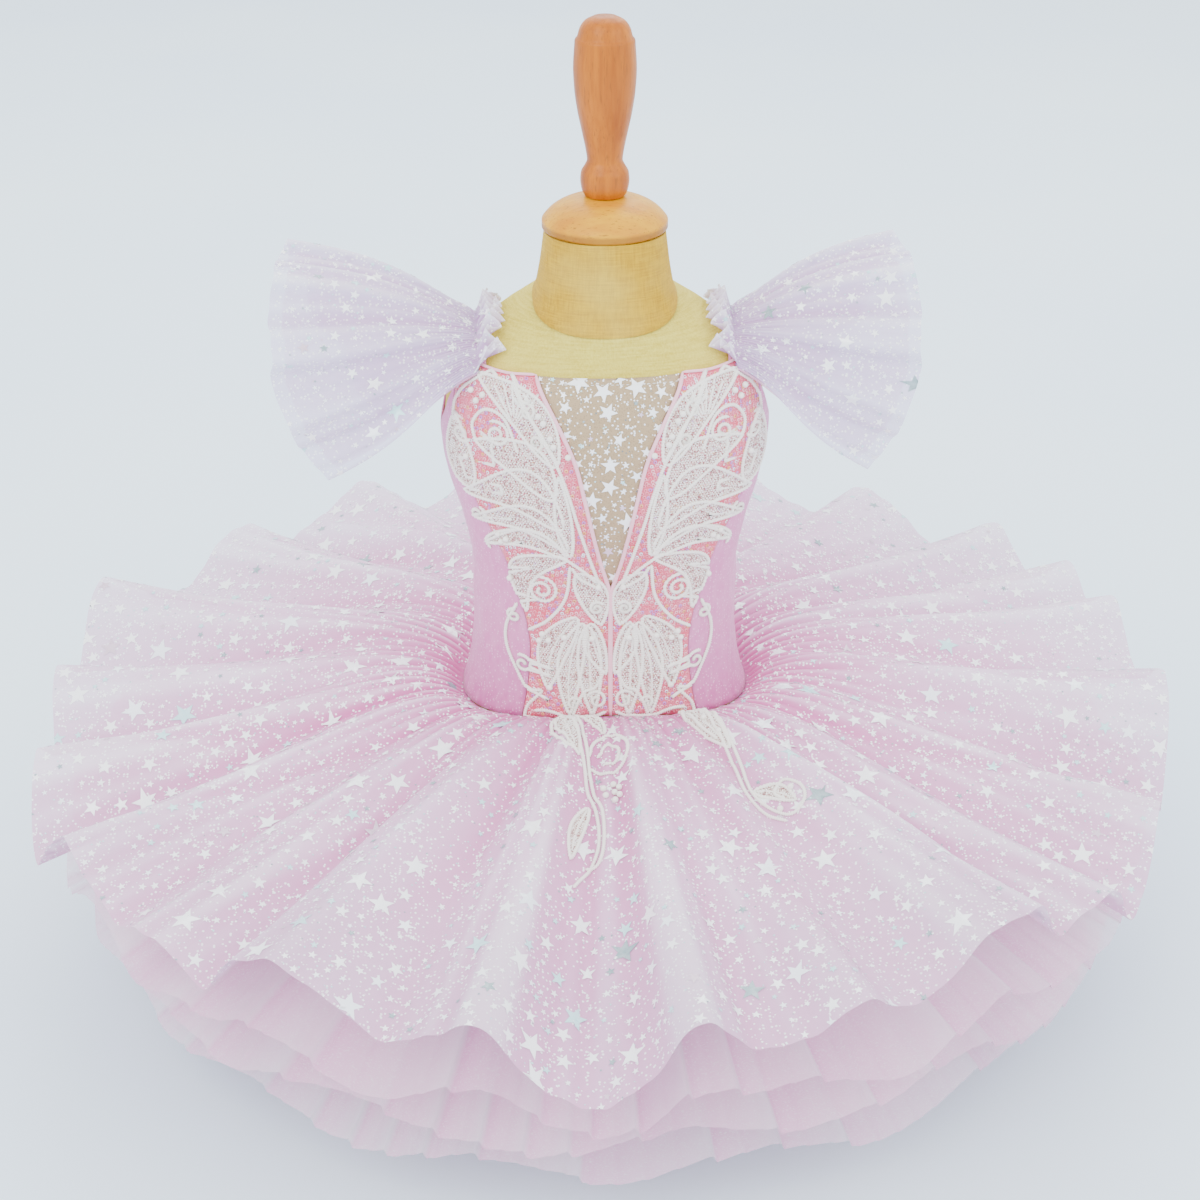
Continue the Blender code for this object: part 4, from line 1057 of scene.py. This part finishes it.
def build_star_skirt(finish):
    """Star layer: broad flutes, gathers at the seam and listed creases."""
    azimuth = 360 * np.arange(STAR_COLUMNS) / STAR_COLUMNS
    shares = np.linspace(0, 1, STAR_ROWS) ** 1.35
    hem_z, hem_radius = around("z", azimuth), around("radius", azimuth)
    points = skirt_grid(0, azimuth, shares, hem_z, hem_radius, STAR_PUFF)
    a, t = np.radians(azimuth), shares[:, None]
    phase = GATHERS / 2 * a + 0.9 * np.sin(3 * a + 0.5) + 0.5 * np.sin(7 * a + 2.0)
    near = (1 - np.exp(-t / 0.02)) * np.exp(-((t / 0.30) ** 1.5))
    gather = GATHER_DEPTH * (0.45 + 0.55 * np.sin(a) ** 2) * near * np.abs(np.sin(phase)) ** 0.8
    flutes = BROAD_FLUTE * t ** 1.2 * np.sin(31 * a + 1.9 * np.sin(2 * a) + 2.2 * t)
    flutes = flutes * (0.6 + 0.4 * np.sin(5 * a + 1.0))
    flutes += NARROW_FLUTE * t * np.sin(53 * a + 4 * t * np.sin(a + 0.6))
    flutes += RIPPLE * t * np.sin(118 * a + 5 * np.sin(5 * a))
    creases = crease_heights(azimuth, shares)
    points[..., 2] += gather + flutes + creases
    roll = FOLD_ROLL * (hem_z - MEAN_HEM) * t ** 1.3 * np.tanh(3 * np.sin(a))
    points[..., 0] += roll * np.cos(a)
    points[..., 1] += roll * np.sin(a)
    surface = Surface(points, closed=True, turned=True)
    # Painted highlight on the crests and painted shade in the troughs and creases; the colour is also deeper
    # near the waist, where the gathers are both denser and shaded
    uneven = 0.25 + 0.75 * np.abs(np.sin(4.5 * a + 1.3 * np.sin(3 * a) + 0.4)) ** 1.5
    ridge_highlight = surface.ridges(5, 0.0016) * uneven
    trough = np.clip(0.42 - (hem_z - MEAN_HEM) * t * uneven / 0.032 - creases / 0.008, 0, 1)
    depth = np.clip(0.85 * np.exp(-t / 0.26) + 0.60 * trough * (1.1 - 0.6 * t) - 0.15 * ridge_highlight, 0, 1)
    sheer = np.clip((t - 0.60) / 0.40, 0, 1) * (0.6 + 0.4 * (1 - trough))
    held = {"depth": depth, "sheer": sheer + 0 * depth, "ridge_highlight": 0.42 * np.clip(ridge_highlight - 0.10, 0, 1)}
    piece = cloth_piece("skirt_star", points, surface.faces(), finish, held)
    return surface


def build_pink_skirts(finish):
    """Plain pink layers, each drawn by waves of its own and fine radial pleats."""
    height, width = PINK_GRID
    azimuth = 360 * np.arange(width) / width
    a = np.radians(azimuth)
    shares = np.linspace(0, 1, height) ** 1.2
    t = shares[:, None]
    for k, (name, row) in enumerate(zip(PINK_NAMES, table_rows(PINK))):
        shift = 40.0 * row["letters"]
        swing = 0.72 * np.sin(row["waves"] * a + shift) + 0.28 * np.sin(7 * a + 1.7 * shift)
        hem_z = row["hem_z"] + row["share"] * (around("z", azimuth) - MEAN_HEM) + row["wave"] * swing
        hem_radius = row["hem_radius"] + 0.35 * row["wave"] * np.cos(row["waves"] * a + shift)
        points = skirt_grid(k + 1, azimuth, shares, hem_z, hem_radius, row["puff"])
        lap = (PINK_LAPS * a / (2 * math.pi) + 0.7 * np.sin(4 * a + k) + 0.45 * np.sin(9 * a + 2 * k)) % 1
        fine = (3 * PINK_LAPS * a / (2 * math.pi) + 0.8 * np.sin(7 * a + k)) % 1
        points[..., 2] += LAP_RISE * (lap - 0.5) * t ** 0.7 + 0.0012 * t * (fine - 0.5)
        # Painted shade under each lap's edge, in the fine pleats and near the waist, where the gathered cloth
        # is also denser; painted highlight on each lap's raised edge
        depth = np.clip(0.80 - 0.62 * t + 0.55 * (1 - lap) ** 2 * t + 0.18 * (1 - fine) ** 2 * t, 0, 1)
        sheer = np.clip((t - 0.5) / 0.5, 0, 1) * (0.65 + 0.35 * lap)
        surface = Surface(points, closed=True, turned=True)
        held = {"depth": depth, "sheer": sheer, "ridge_highlight": 0.55 * lap ** 6 * t + 0 * depth}
        piece = cloth_piece(name, points, surface.faces(), finish, held)


def sleeve_ends(s):
    """Points of the gathered root and of the free edge, on the side at +X."""
    z, azimuth = shoulder_place(SLEEVE_ROOT_X + 0 * s, s * SLEEVE_ROOT_Y)
    return body_point(z, azimuth, SLEEVE_OUT), stack(*(read(SLEEVE_EDGE, column, s) for column in "xyz"))


def sleeve_surface(side, shares, step, drop, reach_share):
    """Sleeve layer: columns run from the front tail to the back tail, rows from the gathers out."""
    s = np.linspace(-1, 1, SLEEVE_GRID[1])
    root, edge = sleeve_ends(s)
    ahead, behind = sleeve_ends(np.minimum(1, s + 0.04)), sleeve_ends(np.maximum(-1, s - 0.04))
    edge[:, 0] *= SLEEVE_SPREAD[side]
    reach = edge - root
    grid = []
    wave = np.sin(math.pi * SLEEVE_WAVES * (s + 1) + 0.8)
    fine = np.sin(math.pi * 19 * (s + 1) + 1.5 * np.sin(5 * s) + step * 900)
    frill = np.sin(math.pi * 8 * (s + 1) + 1.6 * np.sin(4 * s)) + 0.4 * np.sin(math.pi * 21 * (s + 1))
    tuck = np.abs(np.sin(math.pi * 30 * (s + 1) + 1.2 * np.sin(7 * s))) ** 0.8
    full = np.clip((1 - s) / HEADER_END, HEADER_LEAST, 1.0)
    for t in shares * reach_share:
        if t < 0:
            rise = -t * full
            point = root + rise[:, None] * np.array((-0.9 * HEADER_IN, 0.0, FRILL_UP))
            point += (rise * FRILL_WAVE * frill)[:, None] * np.array((0.9, 0.0, 0.5))
            point += (rise * FRILL_RIPPLE * fine)[:, None] * np.array((0.2, 0.0, 1.0))
            point += (TUCK * (1 - rise) * tuck)[:, None] * np.array((0.3, 0.0, 1.0))
        else:
            tangent = (ahead[0] - behind[0]) * (1 - t) + (ahead[1] - behind[1]) * t
            outward = unit(np.cross(reach, tangent))
            swell = SLEEVE_BULGE * math.sin(math.pi * t) + SLEEVE_WAVE * t * wave
            swell = swell + SLEEVE_RIPPLE * t ** 0.7 * fine
            swell = swell + SLEEVE_GATHER * (1 - math.exp(-t / 0.03)) * math.exp(-t / 0.22) * tuck
            swell = swell - step - drop * min(1.0, 4 * t) + TUCK * (t <= 0) * tuck
            point = root + t * reach + swell[:, None] * outward
        grid.append(point)
    points = np.array(grid)
    if side == "right":
        points[..., 0] *= -1
        return Surface(points), wave
    return Surface(points[:, ::-1]), wave[::-1]


def build_sleeves(finishes):
    """A star layer with a frilled header over a pink layer, on each shoulder."""
    for side in SIDES:
        outward = np.linspace(0, 1, SLEEVE_GRID[0] - len(HEADER_ROWS)) ** 1.2
        shares = np.concatenate((HEADER_ROWS, outward))
        surface, wave = sleeve_surface(side, shares, 0.0, 0.0, 1.0)
        t = np.maximum(0, shares)[:, None]
        # Painted shade near the gathered root, where the cloth is also denser, and in the wave troughs;
        # painted highlight on the crests and on the frill's rim
        ridge_highlight = surface.ridges(4, 0.0011)
        depth = np.clip(0.55 * np.exp(-t / 0.25) + 0.30 * (0.5 - 0.5 * wave[None, :]) - 0.3 * ridge_highlight, 0, 1)
        rim = 0.8 * np.clip((-shares - 0.7) / 0.3, 0, 1)[:, None]
        values = {"depth": depth, "sheer": 0.45 + 0.55 * t + 0 * depth,
                  "ridge_highlight": np.maximum(rim, 0.7 * np.clip(ridge_highlight - 0.1, 0, 1))}
        piece = cloth_piece("sleeve_star_" + side, surface.points, surface.faces(),
                            finishes["star_tulle_sleeve"], values)
        foil_stars("sleeve_stars_" + side, surface, SLEEVE_STARS, SLEEVE_DOTS,
                   SEEDS["sleeve"] + SIDES[side], finishes["foil"])
        shares = np.linspace(0, 1, SLEEVE_UNDER_ROWS)
        under, wave = sleeve_surface(side, shares, SLEEVE_STEP, SLEEVE_DROP, SLEEVE_UNDER_REACH)
        t = shares[:, None]
        # Painted shade near the root, where the cloth is also denser, and in the wave troughs
        depth = np.clip(0.65 - 0.4 * t + 0.2 * (0.5 - 0.5 * wave[None, :]), 0, 1)
        values = {"depth": depth, "sheer": t + 0 * depth, "ridge_highlight": 0.0}
        piece = cloth_piece("sleeve_pink_" + side, under.points, under.faces(),
                            finishes["pink_tulle"], values)


def ring_sequins(name, surface, seed, finish):
    """Small ring sequins in uneven rows over a front panel."""
    draw = np.random.default_rng(seed)
    height, width = surface.points.shape[:2]
    middle = surface.points[:, width // 2]
    climb = np.concatenate(([0], np.cumsum(np.linalg.norm(np.diff(middle, axis=0), axis=1))))
    i, j = [], []
    for k, level_up in enumerate(np.arange(RING_PITCH, climb[-1] - RING_PITCH / 2, RING_PITCH * 0.9)):
        row = np.interp(level_up, climb, np.arange(height))
        line = surface.at(np.arange(width) * 1.0, np.full(width, row))
        along = np.concatenate(([0], np.cumsum(np.linalg.norm(np.diff(line, axis=0), axis=1))))
        stops = np.arange(RING_PITCH * (0.6 + 0.5 * (k % 2)), along[-1] - RING_PITCH / 2, RING_PITCH)
        i.append(np.interp(stops, along, np.arange(width)))
        j.append(np.full(len(stops), row))
    i, j = np.concatenate(i), np.concatenate(j)
    i, j = i + draw.normal(0, RING_SCATTER, len(i)), j + draw.normal(0, RING_SCATTER, len(j))
    turns = 2 * math.pi * np.arange(RING_SIDES) / RING_SIDES
    circle = np.stack((np.cos(turns), np.sin(turns)), axis=-1)
    outline = np.concatenate((circle, RING_HOLE * circle))
    size = len(outline)
    lift = np.repeat(RING_LIFTS, RING_SIDES)
    laid = surface.stick(i, j, draw.uniform(0, 6.28, len(i)), np.full(len(i), RING_RADIUS), outline, lift)
    laid += draw.normal(0, RING_UNEVEN, (len(i), size, 1)) * np.array((0, 1, 0))
    following = [(k + 1) % RING_SIDES for k in range(RING_SIDES)]
    pattern = [(k, m, m + RING_SIDES, k + RING_SIDES) for k, m in enumerate(following)]
    tones = draw_tones(RING_TONES, len(i), draw)
    values = {"tone": np.repeat(tones, size, axis=0)}
    piece = add_mesh(name, laid, repeat_faces(pattern, len(i), size), finish, values)


class Cover:
    """Surfaces joined into one, to find the cloth above a place of a plan."""

    def __init__(self, surfaces):
        points, faces, start = [], [], 0
        for surface in surfaces:
            points.append(surface.points.reshape(-1, 3))
            faces.append(surface.faces() + start)
            start += len(points[-1])
        self.tree = BVHTree.FromPolygons(np.concatenate(points).tolist(), np.concatenate(faces).tolist())

    def find(self, starts, way):
        """Points where rays from the starts meet the cloth's front half, or else the nearest to them."""
        places, outs = [], []
        for start in starts:
            hit, out, _, _ = self.tree.ray_cast(Vector(start), way)
            if hit is None or hit.y > 0:
                hit, out, _, _ = self.tree.find_nearest(Vector(start) + 0.2 * way)
            if out.dot(way) > 0:
                out = -out
            places.append(tuple(hit))
            outs.append(tuple(out))
        return np.array(places), np.array(outs)


def on_bodice(cover, side, plan):
    """Places of the bodice's plan, in mm across and up, on its cloth, drawn in where it rounds away."""
    plan = np.asarray(plan, dtype=float) / 1000
    across = np.minimum(plan[:, 0], (plan[:, 0] + LACE_WRAP) / 2)
    starts = stack(SIDES[side] * across, AHEAD, plan[:, 1])
    return cover.find(starts, Vector((0, 1, 0)))


def on_skirt(cover, plan):
    """Places of the skirt's plan, in mm across and out from the front hip seam, on its cloth."""
    plan = np.asarray(plan, dtype=float) / 1000
    starts = stack(plan[:, 0], -plan[:, 1] - HIP_FRONT, ABOVE)
    return cover.find(starts, Vector((0, 0, -1)))


def smooth_path(points, step=1.5):
    """Smooth curve through given points, with a point every step."""
    knots = np.asarray(points, dtype=float)
    padded = np.vstack((2 * knots[0] - knots[1], knots, 2 * knots[-1] - knots[-2]))
    path = []
    for k in range(1, len(padded) - 2):
        before, here, there, after = padded[k - 1:k + 3]
        count = max(2, int(round(np.linalg.norm(there - here) / step)))
        f = (np.arange(count) / count)[:, None]
        square = 2 * before - 5 * here + 4 * there - after
        cube = 3 * here - before - 3 * there + after
        path.append(0.5 * (2 * here + (there - before) * f + square * f ** 2 + cube * f ** 3))
    path.append(knots[-1:])
    return np.concatenate(path)


def spiral_path(row):
    """Scroll that winds in to its centre."""
    f = np.linspace(0, 1, 40)
    turn = np.radians(row["start"]) + 2 * math.pi * row["turns"] * f
    reach = row["radius"] * (1 - 0.82 * f ** 0.9)
    return np.stack((row["u"] + reach * np.cos(turn), row["z"] + reach * np.sin(turn)), axis=-1)


def leaf_frame(row):
    """Base, unit axis, length and side direction of a leaf."""
    base = np.array((row["base_u"], row["base_z"]), dtype=float)
    axis = np.array((row["tip_u"], row["tip_z"]), dtype=float) - base
    length = float(np.linalg.norm(axis))
    axis = axis / length
    return base, axis, length, np.array((-axis[1], axis[0]))


def leaf_width(row, f):
    """Half-width of a leaf along it."""
    return row["half_width"] * np.sin(math.pi * np.clip(f, 0, 1) ** 0.85) ** 0.75


def leaf_line(row, share, first=0.0, last=1.0):
    """Line along a leaf at a share of its half-width to one side."""
    base, axis, length, side = leaf_frame(row)
    f = np.linspace(first, last, max(4, int(length * (last - first) / 1.6)))
    away = row["bend"] * np.sin(math.pi * f) + share * leaf_width(row, f)
    return base + np.outer(f * length, axis) + np.outer(away, side)


def leaf_bounds(leaves):
    """Lowest and highest corner round all the leaves."""
    every = np.concatenate([leaf_line(row, share) for row in leaves for share in (-1, 1)])
    return every.min(axis=0), every.max(axis=0)


def inside_leaves(leaves, plan):
    """Whether each place lies inside any leaf."""
    found = np.zeros(len(plan), dtype=bool)
    for row in leaves:
        base, axis, length, side = leaf_frame(row)
        f = (plan - base) @ axis / length
        away = (plan - base) @ side - row["bend"] * np.sin(math.pi * np.clip(f, 0, 1))
        found |= (f > 0) & (f < 1) & (np.abs(away) < leaf_width(row, f))
    return found


def finer(values, cuts):
    """The values of a line with more places between each two."""
    at = np.linspace(0, len(values) - 1, (len(values) - 1) * cuts + 1)
    return np.stack([np.interp(at, np.arange(len(values)), values[:, k]) for k in range(3)], axis=-1)


def beaded_cord(places, outs, radius):
    """Cord wound with tiny beads: a tube that swells once between each two places of its line."""
    swell = 1 + BEAD_SWELL * np.cos(2 * math.pi * np.arange((len(places) - 1) * BEADING + 1) / BEADING)
    return tube(finer(places, BEADING), finer(outs, BEADING), radius, 6, swell)


def tube(places, outs, radius, sides=7, swell=1.0):
    """Tube along a line on the cloth, thinner at its ends: its points and faces."""
    ahead = np.gradient(places, axis=0)
    across = unit(np.cross(ahead, outs))
    count = len(places)
    ends = np.minimum(np.arange(count), np.arange(count)[::-1])
    thick = radius * np.clip(0.45 + 0.2 * ends, 0, 1) * swell
    turns = 2 * math.pi * np.arange(sides) / sides
    ring = np.cos(turns)[None, :, None] * across[:, None] + 0.9 * np.sin(turns)[None, :, None] * outs[:, None]
    points = (places + 0.7 * radius * outs)[:, None] + thick[:, None, None] * ring
    faces = []
    for k in range(count - 1):
        for n in range(sides):
            a, b = k * sides + n, k * sides + (n + 1) % sides
            faces.append((a, a + sides, b + sides, b))
    faces.append(tuple(range(sides)))
    faces.append(tuple(reversed(range((count - 1) * sides, count * sides))))
    return points.reshape(-1, 3), faces


def join_shapes(name, shapes, finish, tone):
    """One piece from many shapes of one colour."""
    points, faces, start = [], [], 0
    for more, pattern in shapes:
        points.append(more)
        faces += [tuple(start + v for v in face) for face in pattern]
        start += len(more)
    whole = np.concatenate(points)
    piece = add_mesh(name, whole, faces, finish, {"tone": np.broadcast_to(tone, (len(whole), 3))})
    return piece


def bead_shape(across, around_count):
    """Round bead of radius one: its points and its faces."""
    points, faces = [(0, 0, 1)], []
    for k in range(1, across):
        polar = math.pi * k / across
        for n in range(around_count):
            turn = 2 * math.pi * n / around_count
            out = math.sin(polar)
            points.append((out * math.cos(turn), out * math.sin(turn), math.cos(polar)))
    points.append((0, 0, -1))
    last = len(points) - 1
    for n in range(around_count):
        m = (n + 1) % around_count
        faces.append((0, 1 + n, 1 + m))
        for k in range(across - 2):
            a, b = 1 + k * around_count + n, 1 + k * around_count + m
            faces += [(a, a + around_count, b + around_count), (a, b + around_count, b)]
        faces.append((last, last - around_count + m, last - around_count + n))
    return np.array(points, dtype=float), np.array(faces)


def beads(name, places, outs, radius, grain, finish, tones):
    """Round beads on the cloth, as one piece."""
    shape, pattern = bead_shape(*grain)
    points = (places + 0.8 * radius * outs)[:, None] + radius * shape[None]
    values = {"tone": np.repeat(tones, len(shape), axis=0)}
    piece = add_mesh(name, points, repeat_faces(pattern, len(places), len(shape)), finish, values)
    return piece


def net_piece(name, leaves, find, finish):
    """Net of the lace leaves on the cloth."""
    low, high = leaf_bounds(leaves)
    pitch = NET_PITCH * 1000
    u, v = np.arange(low[0], high[0] + pitch, pitch), np.arange(low[1], high[1] + pitch, pitch)
    grid_u, grid_v = np.meshgrid(u, v)
    middles = np.stack((grid_u[:-1, :-1] + pitch / 2, grid_v[:-1, :-1] + pitch / 2), axis=-1).reshape(-1, 2)
    cells = np.flatnonzero(inside_leaves(leaves, middles))
    j, i = np.unravel_index(cells, (len(v) - 1, len(u) - 1))
    first = j * len(u) + i
    corners = np.stack((first, first + 1, first + len(u) + 1, first + len(u)), axis=-1)
    used, faces = np.unique(corners, return_inverse=True)
    plan = np.stack((grid_u.ravel()[used], grid_v.ravel()[used]), axis=-1)
    places, outs = find(plan)
    faces = faces.reshape(-1, 4)
    a, b, c = (places[faces[0, k]] for k in range(3))
    if np.dot(np.cross(b - a, c - a), outs[faces[0, 0]]) < 0:
        faces = faces[:, ::-1]
    piece = add_mesh(name + "_net", places + NET_LIFT * outs, faces, finish)
    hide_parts(name)


def seed_places(leaves, draw):
    """Places of the tiny beads inside the leaves, in mm."""
    low, high = leaf_bounds(leaves)
    pitch = SEED_PITCH * 1000
    spots = []
    for k, v in enumerate(np.arange(low[1], high[1], pitch * 0.866)):
        u = np.arange(low[0] + pitch * 0.5 * (k % 2), high[0], pitch)
        spots.append(np.stack((u, np.full(len(u), v)), axis=-1))
    spots = np.concatenate(spots)
    spots += draw.normal(0, SEED_SCATTER, spots.shape)
    return spots[inside_leaves(leaves, spots)]


def lace_motif(name, leaves, lines, ribs, pearls, find, finishes, seed):
    """One lace motif: net, tiny beads, cords and pearls. It stands for the solid of its name."""
    draw = np.random.default_rng(seed)
    net_piece(name, leaves, find, finishes["net"])
    ivory = np.array(colour(*IVORY))
    shapes = []
    for row in leaves:
        lines = lines + [np.concatenate((leaf_line(row, 1.0), leaf_line(row, -1.0)[::-1][1:]))]
        if row["base_z"] < RIBBED_BELOW:
            ribs = ribs + [leaf_line(row, 0.0, 0.04, 0.86)]
    for radius, paths in ((CORD_RADIUS, lines), (RIB_RADIUS, ribs)):
        for path in paths:
            places, outs = find(path)
            shapes.append(beaded_cord(places, outs, radius))
    join_shapes(name + "_cords", shapes, finishes["thread"], ivory)
    places, outs = find(seed_places(leaves, draw))
    tones = draw_tones(SEED_TONES, len(places), draw)
    beads(name + "_seeds", places, outs, SEED_RADIUS, SEED_GRAIN, finishes["glass"], tones)
    places, outs = find(np.array(pearls, dtype=float))
    tones = np.tile(ivory, (len(places), 1))
    beads(name + "_pearls", places, outs, PEARL_RADIUS, PEARL_GRAIN, finishes["glass"], tones)


def build_lace(surfaces, skirt, finishes):
    """Lace on the front panels, mirrored, and the two tails on the skirt."""
    leaves = table_rows(LEAVES)
    lines = [smooth_path(points) for points in CORDS.values()]
    lines += [spiral_path(row) for row in table_rows(SCROLLS)]
    middle = np.array(FAN["centre"], dtype=float)
    ribs = []
    for turn in np.radians(np.linspace(FAN["first"], FAN["last"], FAN["ribs"])):
        way = np.array((math.cos(turn), math.sin(turn)))
        ribs.append(np.array([middle + way * r for r in np.linspace(5, FAN["reach"], 10)]))
    for side in SIDES:
        cover = Cover([surfaces["front_" + side], surfaces["side_" + side]])
        lace_motif("lace_bodice_" + side, leaves, lines, ribs, PEARLS,
                   lambda plan: on_bodice(cover, side, plan),
                   finishes, SEEDS["lace_bodice"] + SIDES[side])
    cover = Cover([skirt])
    for side in SIDES:
        lines = [smooth_path(points) for points in TAIL_CORDS[side]]
        leaves = table_rows(TAIL_LEAVES[side])
        lace_motif("lace_tail_" + side, leaves, lines, [], TAIL_PEARLS[side],
                   lambda plan: on_skirt(cover, plan),
                   finishes, SEEDS["lace_tail"] + SIDES[side])


def build_piping(surfaces, finish):
    """Light pink piping along each V edge and top edge, and the stitch line on the insert."""
    for side in SIDES:
        panel = surfaces["front_" + side]
        edge = panel.points[:, 0] if side == "left" else panel.points[:, -1]
        out = panel.normals[:, 0] if side == "left" else panel.normals[:, -1]
        top, up = panel.points[-1], panel.normals[-1]
        shapes = [tube(edge, out, PIPING_RADIUS, 8), tube(top, up, TOP_PIPING, 8)]
        join_shapes("piping_" + side, shapes, finish, np.array(colour(*PIPING_TONE)))
    insert = surfaces["insert"]
    height, width = insert.points.shape[:2]
    shapes = []
    for k in range(STITCHES):
        i = (k + 0.5 + np.linspace(-0.3, 0.3, 5)) * (width - 1) / STITCHES
        j = np.full(5, height - STITCH_ROW)
        places = insert.at(i, j)
        shapes.append(tube(places, unit(insert.at(i, j, 1.0) - places), STITCH_RADIUS, 5))
    join_shapes("insert_stitches", shapes, finish, np.array(colour(*STITCH_TONE)))


def build_form(finishes):
    """Smooth linen torso and neck of the dress form, foam under cloth."""
    turns = np.arange(0, 360, 360 / FORM_SIDES)[None, :]
    z = np.concatenate((np.linspace(0, 0.004, 4), np.linspace(0.012, NECK_SEAM, 110)))[:, None]
    widths, depths = read(BODY, "half_width", z) - FORM_INSET, read(BODY, "half_depth", z) - FORM_INSET
    torso = ring_point(widths, depths, turns, z, lean(z))
    close_tube("form_torso", torso, finishes["linen"])
    share = np.linspace(0, 1, 24)[:, None]
    z = NECK_SEAM + SEAM_GAP + share * (NECK_TOP - NECK_SEAM - SEAM_GAP)
    roll = 0.0009 * np.exp(-((share - 0.045) / 0.035) ** 2)
    widths, depths = read(NECK, "half_width", share) + roll, read(NECK, "half_depth", share) + roll
    neck = ring_point(widths, depths, turns, z, NECK_LEAN * (1 - share))
    close_tube("form_neck", neck, finishes["neck_linen"])


def close_tube(name, points, finish):
    """Closed padded piece from rings of points, bottom to top."""
    height, width = points.shape[:2]
    faces = grid_faces(height, width, closed=True).tolist()
    faces.append(tuple(reversed(range(width))))
    faces.append(tuple(range((height - 1) * width, height * width)))
    piece = cloth_piece(name, points, faces, finish)
    piece.data.set_sharp_from_angle(angle=math.radians(50))


def turn_on_lathe(name, profile, finish, rim):
    """Turned piece: a disc drawn down its profile, ring by ring, darker below the height of a rim with
    painted shade.
    """
    bpy.ops.object.select_all(action="DESELECT")
    radii, heights = profile["radius"], profile["z"]
    f = np.linspace(0, len(radii) - 1, 4 * len(radii))
    steps = {"row": np.arange(len(radii)), "radius": radii, "z": heights}
    radii, heights = read(steps, "radius", f), read(steps, "z", f)
    start = (0, 0, heights[0])
    bpy.ops.mesh.primitive_circle_add(vertices=LATHE_SIDES, radius=radii[0], fill_type="NGON", location=start)
    piece = bpy.context.active_object
    bpy.ops.object.transform_apply(location=True, rotation=True, scale=True)
    bpy.ops.object.mode_set(mode="EDIT")
    bpy.ops.mesh.select_all(action="SELECT")
    for before, after, top, bottom in zip(radii, radii[1:], heights, heights[1:]):
        bpy.ops.mesh.extrude_region_move(TRANSFORM_OT_translate={"value": (0, 0, bottom - top)})
        bpy.ops.transform.resize(value=(after / before, after / before, 1), center_override=(0, 0, bottom))
    bpy.ops.mesh.select_all(action="SELECT")
    bpy.ops.mesh.normals_make_consistent(inside=False)
    bpy.ops.object.mode_set(mode="OBJECT")
    piece.name = name + "_turned"
    piece.data.shade_smooth()
    piece.data.set_sharp_from_angle(angle=math.radians(55))
    piece.data.materials.append(finish)
    # Painted shade below the rim
    z = np.array([v.co.z for v in piece.data.vertices], dtype=np.float32)
    layer = piece.data.attributes.new("depth", "FLOAT", "POINT")
    layer.data.foreach_set("value", np.clip((rim - z) / 0.0015, 0, 1))
    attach(piece, "root")
    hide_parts(name)


def add_light(name, place, size, energy, tint):
    """Soft square light aimed at the middle of the dress."""
    light = bpy.data.lights.new(name, "AREA")
    light.size, light.energy, light.color = size, energy, tint
    lamp = bpy.data.objects.new(name, light)
    lamp.location = place
    lamp.rotation_euler = (Vector((0, 0, 0.25)) - Vector(place)).to_track_quat("-Z", "Y").to_euler()
    bpy.context.scene.collection.objects.link(lamp)


def build_stage():
    """Camera at the photograph's view, soft studio light and a pale floor."""
    camera = bpy.data.objects.new("camera", bpy.data.cameras.new("camera"))
    camera.location = CAMERA_PLACE
    camera.rotation_euler = tuple(math.radians(turn) for turn in CAMERA_TURN)
    camera.data.lens = CAMERA_LENS
    camera.data.sensor_width = SENSOR
    bpy.context.scene.collection.objects.link(camera)
    bpy.context.scene.camera = camera
    for name, values in LIGHTS.items():
        add_light(name, **values)
    world = bpy.data.worlds.new("studio")
    world.use_nodes = True
    sky = world.node_tree.nodes["Background"]
    sky.inputs["Color"].default_value = SKY
    sky.inputs["Strength"].default_value = SKY_STRENGTH
    bpy.context.scene.world = world
    bpy.ops.object.select_all(action="DESELECT")
    bpy.ops.mesh.primitive_plane_add(size=FLOOR_SIZE, location=(0, 0, 0))
    floor = bpy.context.active_object
    floor.name = "floor"
    floor.data.materials.append(make_floor())


def make_finishes():
    """Every finish, by name."""
    made = {}
    kinds = ((make_tulle, TULLES), (make_linen, LINENS), (make_wood, WOODS), (make_jersey, JERSEYS))
    for make, table in kinds:
        for name, looks in table.items():
            made[name] = make(name, **looks)
    made["star_mesh"] = make_mesh_cloth()
    for name, looks in PAINTED.items():
        made[name] = make_painted(**looks)
    made["net"] = make_net("lace_net")
    return made


build_stage()
finishes = make_finishes()
build_form(finishes)
turn_on_lathe("neck_cap", CAP, finishes["cap_wood"], CAP_RIM)
turn_on_lathe("handle", HANDLE, finishes["handle_wood"], 0.0)
surfaces = build_bodice(finishes)
skirt = build_star_skirt(finishes["star_tulle"])
build_pink_skirts(finishes["pink_tulle"])
build_sleeves(finishes)
foil = finishes["foil"]
foil_stars("skirt_stars", skirt, SKIRT_STARS, SKIRT_DOTS, SEEDS["skirt"], foil)
foil_stars("insert_stars", surfaces["insert"], INSERT_STARS, INSERT_DOTS, SEEDS["insert"], foil)
for side in SIDES:
    seed = SEEDS["sequins"] + SIDES[side]
    ring_sequins("sequins_" + side, surfaces["front_" + side], seed, finishes["sequin"])
build_piping(surfaces, finishes["piping"])
build_lace(surfaces, skirt, finishes)
